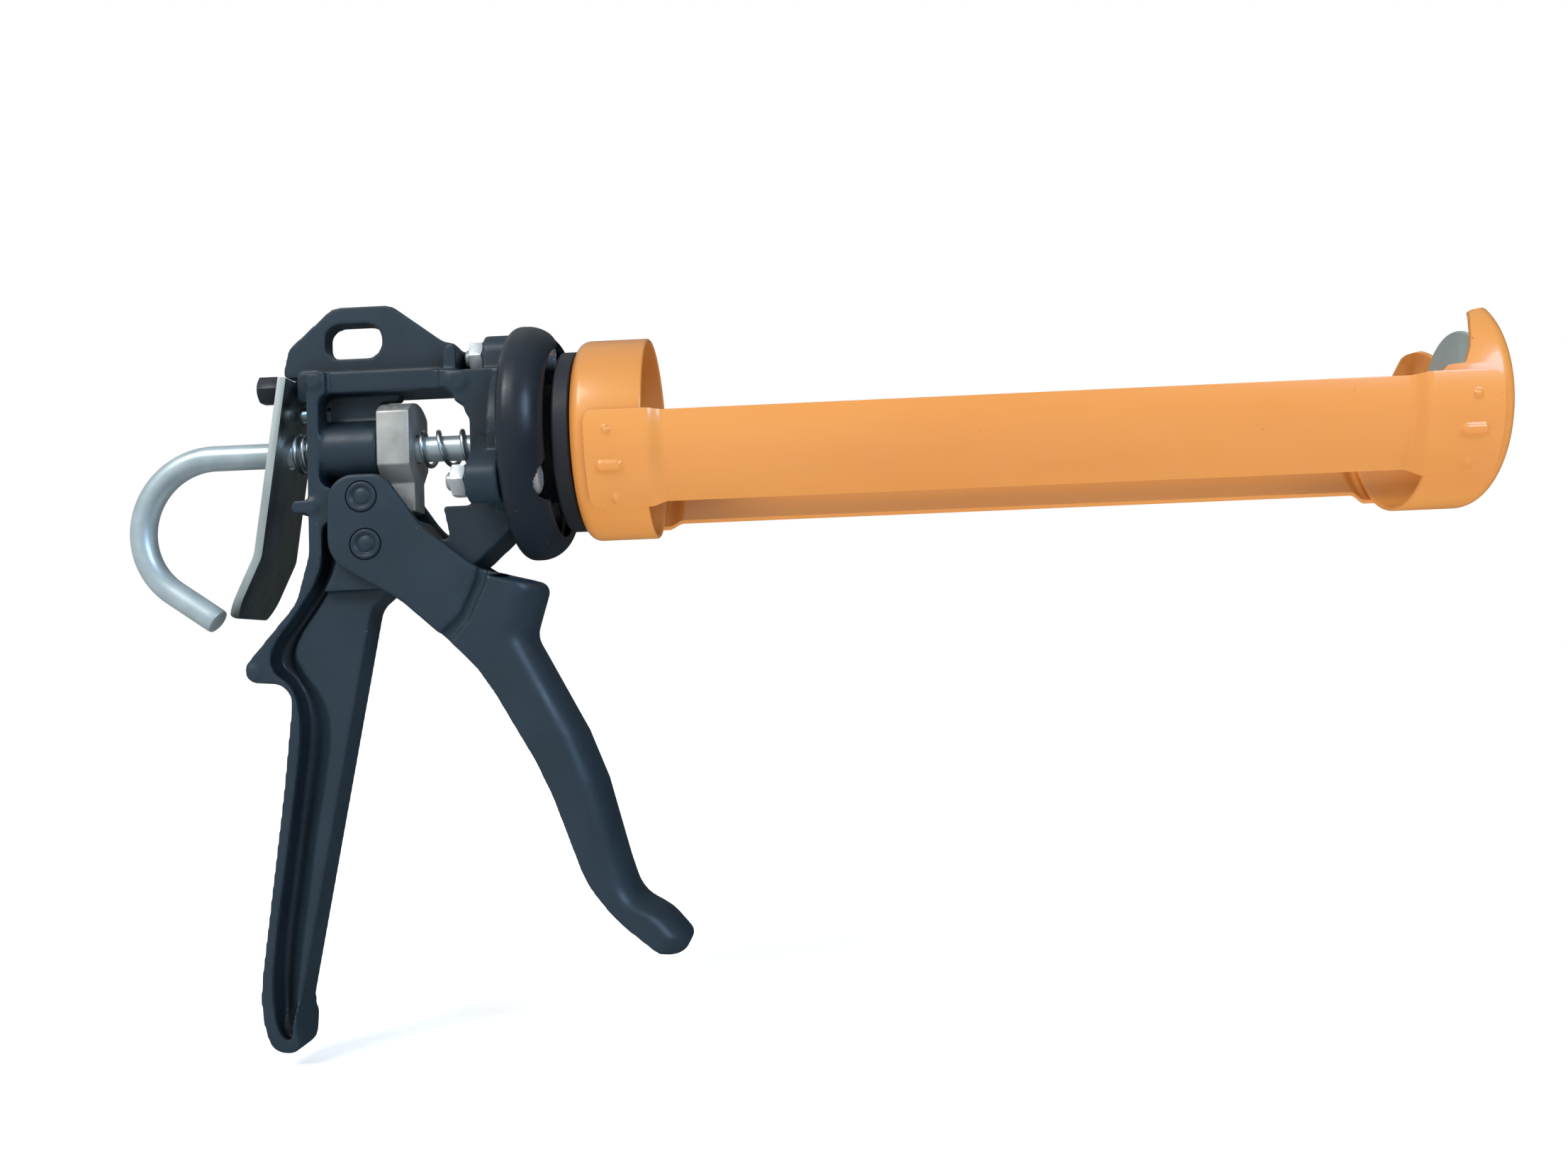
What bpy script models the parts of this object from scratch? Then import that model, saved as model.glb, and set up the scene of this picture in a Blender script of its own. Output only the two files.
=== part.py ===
"""Skeleton caulking gun with a revolving carriage, for one standard sealant cartridge.

The gun stands upright: +X runs along the push rod towards the nozzle, +Z is up and +Y is the
left-hand side. Every size below is in millimetres, measured from the rod's axis (y = z = 0) and
from the back of the rear ring (x = 0). The solids are made in metres and hang from one empty
that puts the middle of the hand grip at the world's origin.
"""

import math

import bmesh
import bpy
from mathutils import Matrix, Vector

MM = 0.001
GAP = 0.3               # what touching pieces keep between them
PLAY = 0.4              # clearance of what slides or turns

# --- driving dimensions -------------------------------------------------------------------
GRIP = (-75.5, 0.0, -105.0)     # middle of the hand grip, the part's origin

CARTRIDGE_R = 25.0      # standard sealant cartridge
CARTRIDGE_PLAY = 1.0    # between the cartridge and the rings that hold it
SHEET = 1.2             # pressed steel of the carriage
CUP_PLAY = 1.8          # the cup is a little wider, so that the cartridge drops in
CARRIAGE_L = 238.2      # back of the rear ring to the front of the cup
CARRIAGE_TURN = -4.2    # degrees about the rod: at rest its right-hand rail stands a little high
RING_L = 19.0           # depth of the rear ring
CUP_L = 21.0            # depth of the front cup
RING_EDGE = 3.5         # rounded back edge of the rear ring
CUP_EDGE = 4.6          # rounded front edge of the cup
RING_HOLE_R = 9.0       # hole in the ring's back plate
NOZZLE_SLOT_R = 11.0    # half the width of the slot for the nozzle
SLOT_FLARE_Z = 13.0     # the slot widens above this height
HORN_TOP = 20.5         # height of the two horns beside the slot
CUP_SIDE_TOP = 1.1      # height of the cup's side walls
RAIL_TOP_DEG = 2.6      # the rails wrap from here, above the horizontal,
RAIL_LOW_DEG = -50.7    # to here, below it
RAIL_START = 4.3        # the rails' ends lie this far inside the carriage's ends
RAIL_JOGGLE = 4.5       # length of the step between ring and rail

ROD_R = 3.5
STUB_R = 2.5            # turned-down front end of the rod
ROD_STRAIGHT_X = -103.5  # where the hook's bend begins
HOOK_R = 20.5           # first, quarter-circle bend
HOOK_TIP_R = 20.0       # second bend
HOOK_TIP_DEG = 55.0
HOOK_TIP_L = 15.0       # straight end of the hook
PISTON_R = 19.3
PISTON_T = 1.4
PISTON_STANDOFF = 1.0   # between the piston and the cup's front plate at rest
PISTON_NUT_AF = 8.0
PISTON_NUT_T = 3.0

FRAME_HALF = 8.5        # half thickness of the casting's ribs
BEAM_HALF = 7.0         # half thickness of the beam over the window
HANDLE_HALF = 5.2       # half thickness of the handle's flat front part
GROOVE_HALF = 2.6       # half thickness at the bottom of the groove behind it
PLATE_HALF = 3.0        # half thickness of the hanging plate
REAR_X = -74.5          # back of the rear rib
RIB_W = 3.3             # width of the rear rib
FRONT_WALL_X = -30.1    # front edge of the window
BEAM_LOW = 15.2
BEAM_TOP = 21.0
PLATE_TOP = 40.0
BOSS_R = 8.3            # tube that guides the rod behind the drive block
HANG_SLOT = (-63.2, 30.4, 15.6, 9.4)    # centre x, centre z, length, height
HANG_SLOT_CORNER = 4.0

FLANGE_X = -18.3        # front face of the casting
FLANGE_T = 4.2
LUG_T = 8.6             # thickness of the screw lugs
BOLT_CIRCLE_R = 24.6
BOLT_ANGLES = (90.0, 210.0, 330.0)
BOLT_NAMES = ("top", "right", "left")
BOLT_R = 2.4
BOLT_HEAD_R = 4.4
BOLT_HEAD_T = 3.4
NUT_AF = 8.0
NUT_T = 3.8
LUG_R = 6.0

BELL_OVERHANG = 7.3     # the housing's rim beyond the screw circle
BELL_L = 12.4           # length of the housing
BELL_WEB_T = 2.8
HUB_T = 3.4             # flange of the collar inside the housing
NECK_R = 16.2
COLLAR_R = 24.5
COLLAR_L = 5.2          # visible length of the collar
RIVET_CIRCLE_R = 12.6
RIVET_R = 2.0
RIVET_HEAD_R = 3.6

BLOCK_T = 9.0           # drive block, along the rod
BLOCK_R = 12.8
BLOCK_FLAT = 8.6        # half width across its flats
BLOCK_X = -55.5         # its back face
BLOCK_WAIST = -5.0      # its flats end here
TAIL_HALF = 4.2
TAIL_LOW = -17.5
SPRING_WIRE_R = 0.65
RETURN_TURNS = 3.25
RELEASE_TURNS = 2.5

LEVER_T = 2.2
LEVER_HALF = 11.5
LEVER_TILT = 8.7        # degrees from the vertical
FULCRUM = (-80.0, 10.5)     # the lever tips about this point (x, z)
LEVER_TOP = 19.3
LEVER_KNEE = -29.0
PAD_L = 18.0            # bent thumb pad below the knee
PAD_TILT = 25.5
STOP_PIN_R = 2.6
SCREW_Z = 18.2          # lever screw
SCREW_R = 2.2
SCREW_AF = 7.0
SCREW_HEAD_L = 6.0

PIVOT = (-57.9, -26.6)      # trigger pivot (x, z)
DRIVE_PIN = (-58.8, -13.8)  # pin that pushes the drive block's tail
PIN_R = 3.0
PIN_HEAD_R = 4.1
CHEEK_T = 2.9
GRIP_RELIEF = 0.8       # the trigger's grip is this much narrower on each side

# --- sizes tied to them -------------------------------------------------------------------
RING_R = CARTRIDGE_R + CARTRIDGE_PLAY + SHEET
CUP_R = CARTRIDGE_R + CUP_PLAY + SHEET
CUP_REAR = CARRIAGE_L - CUP_L
PLATE_BACK = CARRIAGE_L - SHEET         # inner face of the cup's front plate
PISTON_X = PLATE_BACK - PISTON_STANDOFF - PISTON_T
ROD_BORE = ROD_R + PLAY
RETURN_COIL_R = ROD_R + SPRING_WIRE_R + 0.5
RELEASE_COIL_R = ROD_R + SPRING_WIRE_R + 1.05
BOSS_END = BLOCK_X - GAP
BLOCK_FRONT = BLOCK_X + BLOCK_T
WINDOW_REAR = REAR_X + RIB_W
LUG_X = FLANGE_X - LUG_T
BELL_REAR = FLANGE_X + GAP
BELL_R = BOLT_CIRCLE_R + BELL_OVERHANG
BELL_FRONT = BELL_REAR + BELL_L
HUB_REAR = BELL_REAR + GAP
HUB_R = BOLT_CIRCLE_R - BOLT_R - 2.7
WEB_REAR = HUB_REAR + HUB_T + GAP
WEB_FRONT = WEB_REAR + BELL_WEB_T
HEAD_SEAT = WEB_FRONT - GAP
COLLAR_FRONT = -GAP
COLLAR_REAR = COLLAR_FRONT - COLLAR_L
CHEEK_IN = FRAME_HALF + PLAY
CHEEK_OUT = CHEEK_IN + CHEEK_T
LEVER_SLOPE = math.tan(math.radians(LEVER_TILT))
SCREW_HEAD_X = FULCRUM[0] - LEVER_T - 2.0


# --- outlines -----------------------------------------------------------------------------
def arc(cx, cy, radius, start, end, steps):
    """Points on an arc, from start to end degrees."""
    points = []
    for i in range(steps + 1):
        angle = math.radians(start + (end - start) * i / steps)
        points.append((cx + radius * math.cos(angle), cy + radius * math.sin(angle)))
    return points


def rounded(corners, step=22.5):
    """Closed outline of corners (x, y, fillet radius); a fillet never passes its edges' middles."""
    points = []
    count = len(corners)
    for i, (x, y, radius) in enumerate(corners):
        here = Vector((x, y))
        before = Vector(corners[i - 1][:2]) - here
        after = Vector(corners[(i + 1) % count][:2]) - here
        half = before.angle(after) / 2
        reach = min(radius / math.tan(half), 0.48 * before.length, 0.48 * after.length)
        if radius == 0 or reach < 0.05:
            points.append((x, y))
            continue
        radius = reach * math.tan(half)
        first = here + before.normalized() * reach
        last = here + after.normalized() * reach
        centre = here + (before.normalized() + after.normalized()).normalized() * radius / math.sin(half)
        turn = math.pi - 2 * half
        steps = max(1, round(math.degrees(turn) / step))
        a0 = math.atan2(first.y - centre.y, first.x - centre.x)
        a1 = math.atan2(last.y - centre.y, last.x - centre.x)
        sweep = (a1 - a0 + math.pi) % (2 * math.pi) - math.pi
        for k in range(steps + 1):
            angle = a0 + sweep * k / steps
            points.append((centre.x + radius * math.cos(angle), centre.y + radius * math.sin(angle)))
    return points


def rectangle(x0, x1, y0, y1, radius=0.0):
    return rounded([(x0, y0, radius), (x1, y0, radius), (x1, y1, radius), (x0, y1, radius)])


def hexagon(across_flats, cy=0.0, cz=0.0):
    """Hexagon with a flat on top."""
    return arc(cy, cz, across_flats / 2 / math.cos(math.pi / 6), 0, 300, 5)


def polar(radius, degrees):
    return radius * math.cos(math.radians(degrees)), radius * math.sin(math.radians(degrees))


# --- solids -------------------------------------------------------------------------------
def new_object(name, bm):
    """Object of a closed mesh given in millimetres, hanging from the gun's empty."""
    bmesh.ops.recalc_face_normals(bm, faces=bm.faces)
    bm.transform(Matrix.Scale(MM, 4))
    mesh = bpy.data.meshes.new(name)
    bm.to_mesh(mesh)
    bm.free()
    piece = bpy.data.objects.new(name, mesh)
    bpy.context.scene.collection.objects.link(piece)
    piece.parent = gun
    return piece


def on_carriage(*pieces):
    """Turns pieces about the rod with the carriage."""
    for piece in pieces:
        piece.parent = carriage


def loft(name, rings):
    """Closed solid through rings that all have the same number of points."""
    bm = bmesh.new()
    rows = []
    for ring in rings:
        rows.append([bm.verts.new(point) for point in ring])
    count = len(rows[0])
    for low, high in zip(rows, rows[1:]):
        for i in range(count):
            j = (i + 1) % count
            bm.faces.new((low[i], low[j], high[j], high[i]))
    bm.faces.new(rows[0])
    bm.faces.new(rows[-1])
    return new_object(name, bm)


def prism_y(name, outline, low, high):
    """Outline in x and z, between two y."""
    return loft(name, [[(x, y, z) for x, z in outline] for y in (low, high)])


def prism_x(name, outline, low, high):
    """Outline in y and z, between two x."""
    return loft(name, [[(x, y, z) for y, z in outline] for x in (low, high)])


def cylinder_x(name, radius, low, high, cy=0.0, cz=0.0, sides=20):
    outline = arc(cy, cz, radius, 0, 360 - 360 / sides, sides - 1)
    return prism_x(name, outline, low, high)


def cylinder_y(name, radius, low, high, cx, cz, sides=20):
    outline = arc(cx, cz, radius, 0, 360 - 360 / sides, sides - 1)
    return prism_y(name, outline, low, high)


def turned_x(name, profile, sides=40):
    """Ring turned about the rod's axis from a closed profile of (x, radius) that is off the axis."""
    bm = bmesh.new()
    rows = []
    for i in range(sides):
        angle = 2 * math.pi * (i + 0.5) / sides
        across, up = math.cos(angle), math.sin(angle)
        rows.append([bm.verts.new((x, r * across, r * up)) for x, r in profile])
    count = len(profile)
    for i in range(sides):
        row, following = rows[i], rows[(i + 1) % sides]
        for k in range(count):
            n = (k + 1) % count
            bm.faces.new((row[k], row[n], following[n], following[k]))
    return new_object(name, bm)


def swept(name, path, radius, sides):
    """Round wire along a path of points, with flat ends."""
    path = [Vector(point) for point in path]
    normal = Vector((0, 1, 0))
    rings = []
    for i, point in enumerate(path):
        back = path[max(i - 1, 0)]
        ahead = path[min(i + 1, len(path) - 1)]
        along = (ahead - back).normalized()
        normal = (normal - along * normal.dot(along)).normalized()
        side = along.cross(normal)
        ring = []
        for k in range(sides):
            angle = 2 * math.pi * k / sides
            ring.append(point + (normal * math.cos(angle) + side * math.sin(angle)) * radius)
        rings.append(ring)
    return loft(name, rings)


def combine(target, other, operation):
    """Boolean of two solids, which uses the second one up."""
    boolean = target.modifiers.new("shape", "BOOLEAN")
    boolean.operation = operation
    boolean.solver = "EXACT"
    boolean.object = other
    bpy.context.view_layer.update()
    shape = target.evaluated_get(bpy.context.evaluated_depsgraph_get())
    mesh = bpy.data.meshes.new_from_object(shape)
    target.modifiers.clear()
    bm = bmesh.new()
    bm.from_mesh(mesh)
    bmesh.ops.remove_doubles(bm, verts=bm.verts, dist=0.02 * MM)
    bmesh.ops.dissolve_degenerate(bm, dist=0.01 * MM, edges=bm.edges)
    bm.to_mesh(mesh)
    bm.free()
    target.data = mesh
    bpy.data.objects.remove(other)
    return target


def join(target, *others):
    for other in others:
        combine(target, other, "UNION")
    return target


def cut(target, *others):
    for other in others:
        combine(target, other, "DIFFERENCE")
    return target


def keep(target, other):
    return combine(target, other, "INTERSECT")


def finish(piece, material):
    """Material and smooth shading."""
    piece.data.name = piece.name
    piece.data.materials.clear()
    piece.data.materials.append(material)
    piece.data.shade_smooth()
    piece.data.set_sharp_from_angle(angle=math.radians(32))
    return piece


def paint(name, colour, roughness, metallic=0.0):
    material = bpy.data.materials.new(name)
    material.use_nodes = True
    shader = material.node_tree.nodes["Principled BSDF"]
    shader.inputs["Base Color"].default_value = (*colour, 1.0)
    shader.inputs["Roughness"].default_value = roughness
    shader.inputs["Metallic"].default_value = metallic
    material.diffuse_color = (*colour, 1.0)
    return material


# --- frame body ---------------------------------------------------------------------------
def frame_outline():
    """Side view of the casting: rear rib, spur, handle, lower web and front wall."""
    return rounded([
        (REAR_X, BEAM_TOP, 3), (REAR_X, -28, 14), (-78.3, -41.5, 12), (-92.9, -58.2, 2.6), (-91, -62.4, 2.6),
        (-79.4, -63.4, 9), (-82.6, -92, 120), (-90, -146, 40), (-87.8, -161.4, 6), (-78.6, -161.4, 4.5),
        (-80.6, -150.5, 9), (-58.8, -43.5, 6), (-50.5, -36.5, 9), (-30, -33.4, 5), (FLANGE_X, -23, 6),
        (FLANGE_X, 20, 0), (-36, 20, 3), (-40, BEAM_TOP, 3),
    ])


def window_outline():
    """Opening of the casting in front of the rear rib, around the rod and the drive block."""
    return rounded([
        (WINDOW_REAR, BEAM_LOW, 3), (WINDOW_REAR, -9.6, 3), (-64.5, -12, 2), (-64.5, -19.6, 2),
        (-46, -19.6, 3), (-41, -25.6, 2), (-36, -26, 1.5), (-37.8, -17, 0.6), (FRONT_WALL_X, -17, 1),
        (FRONT_WALL_X, 5.5, 2), (-31.6, 9.5, 1), (-34.4, 12.6, 1), (-36.4, BEAM_LOW, 2),
    ])


def plate_outline():
    """Side view of the hanging plate, whose foot is inside the beam."""
    return rounded([
        (-83.2, BEAM_TOP, 1.2), (-81.4, 29, 5), (-68.8, PLATE_TOP, 4), (-52.6, PLATE_TOP, 4), (-38.2, 29.2, 6),
        (-34.6, 28.6, 1.5), (-34.6, BEAM_LOW + 2, 0), (-76, BEAM_LOW + 2, 0), (-76, BEAM_TOP, 0),
    ])


def handle_groove():
    """Groove inside the rear rib, from the window's corner down the handle."""
    return rounded([
        (-70.2, -22, 1.5), (-71, -31, 8), (-76, -41.5, 8), (-85.8, -54.8, 3.5), (-83.6, -60, 5), (-78.6, -66, 8),
        (-77, -80, 10), (-84.4, -130, 30), (-86, -150, 6), (-83.2, -154, 2), (-81.4, -146, 4), (-74.4, -96, 60),
        (-73.2, -76, 10), (-77.6, -61, 6), (-78.8, -55, 4), (-71.4, -43, 8), (-67.6, -31, 6), (-66.6, -22, 1.5),
    ])


def handle_face():
    """The handle's flat front part, which is thinner than the rear rib; it starts in the groove."""
    return rounded([
        (-72.6, -39.6, 1), (-79.8, -50, 3), (-81.6, -56, 3), (-77, -64, 6), (-75, -78, 10), (-82.6, -132, 30),
        (-84, -154, 4), (-70, -160, 2), (-40, -60, 0), (-40, -38.6, 0),
    ])


def screw_lugs():
    """The flange on the front of the casting and its three screw lugs."""
    flange = cylinder_x("flange", HUB_R + 1.5, FLANGE_X - FLANGE_T, FLANGE_X, sides=40)
    for angle in BOLT_ANGLES:
        lug = prism_x("lug", lug_outline(angle), LUG_X, FLANGE_X)
        join(flange, lug)
    return flange


def lug_outline(angle):
    """Tongue from the rod's axis out to a screw, round at its end."""
    across, up = polar(BOLT_CIRCLE_R, angle)
    points = arc(across, up, LUG_R, angle - 90, angle + 90, 9)
    root = polar(10.0, angle)
    side = polar(LUG_R + 1.5, angle + 90)
    points.append((root[0] + side[0], root[1] + side[1]))
    points.append((root[0] - side[0], root[1] - side[1]))
    return points


def make_frame(material):
    frame = prism_y("frame_casting", frame_outline(), -FRAME_HALF, FRAME_HALF)
    plate = prism_y("plate", plate_outline(), -PLATE_HALF, PLATE_HALF)
    slot_x, slot_z, slot_l, slot_h = HANG_SLOT
    slot = rectangle(slot_x - slot_l / 2, slot_x + slot_l / 2, slot_z - slot_h / 2, slot_z + slot_h / 2,
                     HANG_SLOT_CORNER)
    cut(plate, prism_y("slot", slot, -20, 20))
    cut(frame, prism_y("window", window_outline(), -20, 20))
    beam_side = rectangle(WINDOW_REAR + 2, -38, BEAM_LOW - 5, BEAM_TOP + 5, 1.5)
    for side in (-1, 1):
        cut(frame, prism_y("beam_side", beam_side, side * BEAM_HALF, side * 20))
        cut(frame, prism_y("handle_face", handle_face(), side * HANDLE_HALF, side * 20))
        cut(frame, prism_y("handle_groove", handle_groove(), side * GROOVE_HALF, side * 20))
    boss = cylinder_x("boss", BOSS_R, REAR_X + 1, BOSS_END, sides=28)
    web = prism_y("web", rectangle(WINDOW_REAR - 1, -56.3, 6, BEAM_LOW + 1), -2, 2)
    lobe = prism_y("lobe", rectangle(FULCRUM[0] + 2, REAR_X + 2, 13.5, BEAM_TOP + 0.6, 1), -5.5, 5.5)
    join(frame, plate, boss, web, lobe, screw_lugs())
    cut(frame, cylinder_x("bore", ROD_BORE, REAR_X - 5, FLANGE_X + 5))
    for angle in BOLT_ANGLES:
        across, up = polar(BOLT_CIRCLE_R, angle)
        cut(frame, cylinder_x("hole", BOLT_R + GAP, LUG_X - 2, FLANGE_X + 2, across, up, 12))
    cut(frame, cylinder_x("hole", SCREW_R + GAP, FULCRUM[0], REAR_X + 1, 0, SCREW_Z, 12))
    cut(frame, cylinder_x("hole", STOP_PIN_R + GAP, FULCRUM[0], WINDOW_REAR + 1, 0, FULCRUM[1], 12))
    cut(frame, cylinder_y("hole", PIN_R + GAP, -20, 20, *PIVOT))
    return finish(frame, material)


def make_housing(material):
    """Bell-shaped ring that holds the collar's flange against the casting."""
    profile = [(BELL_REAR, HUB_R + PLAY), (BELL_REAR, BELL_R - 2.4)]
    profile += arc(BELL_REAR + 3.2, BELL_R - 3.2, 3.2, 165, 90, 4)
    profile += arc(BELL_REAR + 4.2, BELL_R - 8.4, 8.4, 85, 12, 6)
    profile += [(BELL_FRONT - 0.6, BELL_R - 7.6), (WEB_FRONT + 1.6, BELL_R - 4.6), (WEB_FRONT, BELL_R - 5.2),
                (WEB_FRONT, NECK_R + PLAY), (WEB_REAR, NECK_R + PLAY), (WEB_REAR, HUB_R + PLAY)]
    housing = turned_x("swivel_housing", profile)
    for angle in BOLT_ANGLES:
        across, up = polar(BOLT_CIRCLE_R, angle)
        cut(housing, cylinder_x("hole", BOLT_R + GAP, BELL_REAR - 2, WEB_FRONT + 1, across, up, 12))
        cut(housing, cylinder_x("pocket", BOLT_HEAD_R + 1.2, HEAD_SEAT, BELL_FRONT + 5, across, up))
    return finish(housing, material)


def make_fasteners(steel):
    """Screws through the housing and the casting, with their nuts behind the lugs."""
    nut_front = LUG_X - GAP
    head_back = HEAD_SEAT + GAP
    for name, angle in zip(BOLT_NAMES, BOLT_ANGLES):
        across, up = polar(BOLT_CIRCLE_R, angle)
        tip = nut_front - NUT_T - 1.6
        screw = cylinder_x("housing_screw_" + name, BOLT_R, tip, head_back + 1, across, up, 12)
        head = turned_head(BOLT_HEAD_R, BOLT_HEAD_T, head_back, across, up)
        join(screw, head)
        slot = rectangle(across - 6, across + 6, up - 0.6, up + 0.6)
        cut(screw, prism_x("slot", slot, head_back + BOLT_HEAD_T - 1.2, head_back + 9))
        finish(screw, steel)
        nut = prism_x("housing_nut_" + name, hexagon(NUT_AF, across, up), nut_front - NUT_T, nut_front)
        cut(nut, cylinder_x("thread", BOLT_R + GAP, nut_front - NUT_T - 2, nut_front + 2, across, up, 12))
        finish(nut, steel)


def turned_head(radius, thickness, back, across, up):
    """Low domed head on an axis along X."""
    rings = []
    for depth, share in ((0, 1), (0.55, 1), (0.85, 0.86), (1, 0.6)):
        x = back + thickness * depth
        rings.append([(x, across + y, up + z) for y, z in arc(0, 0, radius * share, 0, 342, 19)])
    return loft("head", rings)


# --- lever --------------------------------------------------------------------------------
def lever_front(z):
    """Where the lever's front face is, at a height above the knee."""
    return FULCRUM[0] - (FULCRUM[1] - z) * LEVER_SLOPE


def make_lever(material):
    """Release lever: a plate tilted on the rod, with a thumb pad bent back below the knee."""
    tilt = math.radians(LEVER_TILT)
    pad = math.radians(PAD_TILT)
    knee = Vector((lever_front(LEVER_KNEE), LEVER_KNEE))
    foot = knee + Vector((-math.sin(pad), -math.cos(pad))) * PAD_L
    back = Vector((-math.cos(tilt), math.sin(tilt))) * LEVER_T
    pad_back = Vector((-math.cos(pad), math.sin(pad))) * LEVER_T
    knee_back = Vector((-math.cos((tilt + pad) / 2), math.sin((tilt + pad) / 2)))
    knee_back *= LEVER_T / math.cos((pad - tilt) / 2)
    top = Vector((lever_front(LEVER_TOP), LEVER_TOP))
    corners = [(top, 0.4), (knee, 6), (foot, 0.7), (foot + pad_back, 0.7), (knee + knee_back, 8),
               (top + back, 0.4)]
    lever = prism_y("release_lever", rounded([(p.x, p.y, r) for p, r in corners]), -LEVER_HALF, LEVER_HALF)
    low = foot.y - 2
    front_view = rounded([(-LEVER_HALF, LEVER_TOP + 3, 0), (-LEVER_HALF, low, 8), (LEVER_HALF, low, 8),
                          (LEVER_HALF, LEVER_TOP + 3, 0)])
    keep(lever, prism_x("front_view", front_view, -140, -40))
    cut(lever, cylinder_x("rod_hole", ROD_R + 0.5, -100, -70))
    notch = rectangle(-SCREW_R - 0.5, SCREW_R + 0.5, SCREW_Z - SCREW_R - 0.8, LEVER_TOP + 5)
    cut(lever, prism_x("notch", notch, -100, -70))
    return finish(lever, material)


def make_lever_screw(material):
    """Hex-head screw that keeps the top of the lever."""
    screw = prism_x("lever_screw", hexagon(SCREW_AF, 0, SCREW_Z), SCREW_HEAD_X - SCREW_HEAD_L, SCREW_HEAD_X)
    shank = cylinder_x("shank", SCREW_R, SCREW_HEAD_X - 1, REAR_X + 0.7, 0, SCREW_Z, 12)
    return finish(join(screw, shank), material)


def make_stop_pin(material):
    """Pin in the casting whose round end is the lever's fulcrum."""
    rings = []
    for x, share in ((FULCRUM[0] + GAP, 0.3), (FULCRUM[0] + 0.9, 0.75), (FULCRUM[0] + 1.8, 1),
                     (WINDOW_REAR - 0.3, 1)):
        rings.append([(x, y, z) for y, z in arc(0, FULCRUM[1], STOP_PIN_R * share, 0, 330, 11)])
    return finish(loft("lever_stop_pin", rings), material)


def helix(coil_r, low, high, turns):
    """Coil about the rod, with its ends closed up."""
    points = []
    steps = round(14 * turns)
    for i in range(steps + 1):
        part = i / steps
        angle = 2 * math.pi * turns * part
        lead = part - 0.6 * math.sin(2 * math.pi * part) / (2 * math.pi)
        points.append((low + (high - low) * lead, coil_r * math.cos(angle), coil_r * math.sin(angle)))
    return points


def make_springs(steel):
    front = FRONT_WALL_X - GAP - SPRING_WIRE_R
    path = helix(RETURN_COIL_R, BLOCK_FRONT + GAP + SPRING_WIRE_R, front, RETURN_TURNS)
    finish(swept("return_spring", path, SPRING_WIRE_R, 6), steel)
    back = lever_front(RELEASE_COIL_R + SPRING_WIRE_R) + GAP + SPRING_WIRE_R
    path = helix(RELEASE_COIL_R, back, REAR_X - GAP - SPRING_WIRE_R, RELEASE_TURNS)
    finish(swept("release_spring", path, SPRING_WIRE_R, 6), steel)


# --- drive block --------------------------------------------------------------------------
def make_drive_block(material):
    """Block that tilts and grips the rod: round top, two flats, and a tail that the trigger pushes."""
    top = math.degrees(math.acos(BLOCK_FLAT / BLOCK_R))
    outline = arc(0, 0, BLOCK_R, top, 180 - top, 10)
    outline += [(-BLOCK_FLAT, BLOCK_WAIST), (-TAIL_HALF, BLOCK_WAIST - 4.5), (-TAIL_HALF, TAIL_LOW),
                (TAIL_HALF, TAIL_LOW), (TAIL_HALF, BLOCK_WAIST - 4.5), (BLOCK_FLAT, BLOCK_WAIST)]
    block = prism_x("drive_block", outline, BLOCK_X, BLOCK_FRONT)
    cut(block, cylinder_x("bore", ROD_BORE, BLOCK_X - 3, BLOCK_FRONT + 3))
    return finish(block, material)


# --- trigger ------------------------------------------------------------------------------
def trigger_outline():
    """Side view: two cheeks behind, a curved grip with a hooked tip below."""
    return rounded([
        (-68.2, -7.6, 9), (-53.2, -7.6, 6), (-43.6, -21.6, 20), (-28.4, -34, 14), (-11.4, -38.4, 3),
        (-15.8, -52.6, 6), (1.2, -85, 60), (8.4, -113, 30), (12.2, -122.8, 12), (25, -130.9, 3),
        (22.6, -138, 3.5), (12.2, -134.6, 20), (-1.4, -119, 25), (-11.6, -90.4, 60), (-28.2, -61, 60),
        (-39.4, -50.6, 8), (-49.6, -41.4, 20), (-68.4, -30.4, 10),
    ], 12)


def make_trigger(material):
    trigger = prism_y("trigger", trigger_outline(), -CHEEK_OUT, CHEEK_OUT)
    fork = [(-80, 0), (-20, 0), (-20, -33), (-23, -37), (-36, -54), (-46, -62), (-80, -62)]
    cut(trigger, prism_y("fork", fork, -CHEEK_IN, CHEEK_IN))
    grip = [(-20, -28), (-28, -35), (-40, -51.5), (-50, -60), (-50, -150), (40, -150), (40, -28)]
    for side in (-1, 1):
        cut(trigger, prism_y("grip_side", grip, side * (CHEEK_OUT - GRIP_RELIEF), side * 30))
    for x, z in (PIVOT, DRIVE_PIN):
        cut(trigger, cylinder_y("hole", PIN_R + GAP, -20, 20, x, z))
        for side in (-1, 1):
            cut(trigger, cylinder_y("seat", PIN_HEAD_R + GAP, side * (CHEEK_OUT - 0.75), side * 20, x, z))
    return finish(trigger, material)


def make_pin(name, place, material):
    """Riveted pin across the cheeks, with a low head in each cheek's seat."""
    x, z = place
    head_in = CHEEK_OUT - 0.75 + GAP
    head_out = CHEEK_OUT + 0.4
    pin = cylinder_y(name, PIN_R, -head_in - 0.2, head_in + 0.2, x, z)
    for side in (-1, 1):
        join(pin, cylinder_y("head", PIN_HEAD_R, side * head_in, side * head_out, x, z))
        cut(pin, cylinder_y("dimple", 1.7, side * (head_out - 0.5), side * 20, x, z, 12))
    return finish(pin, material)


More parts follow.
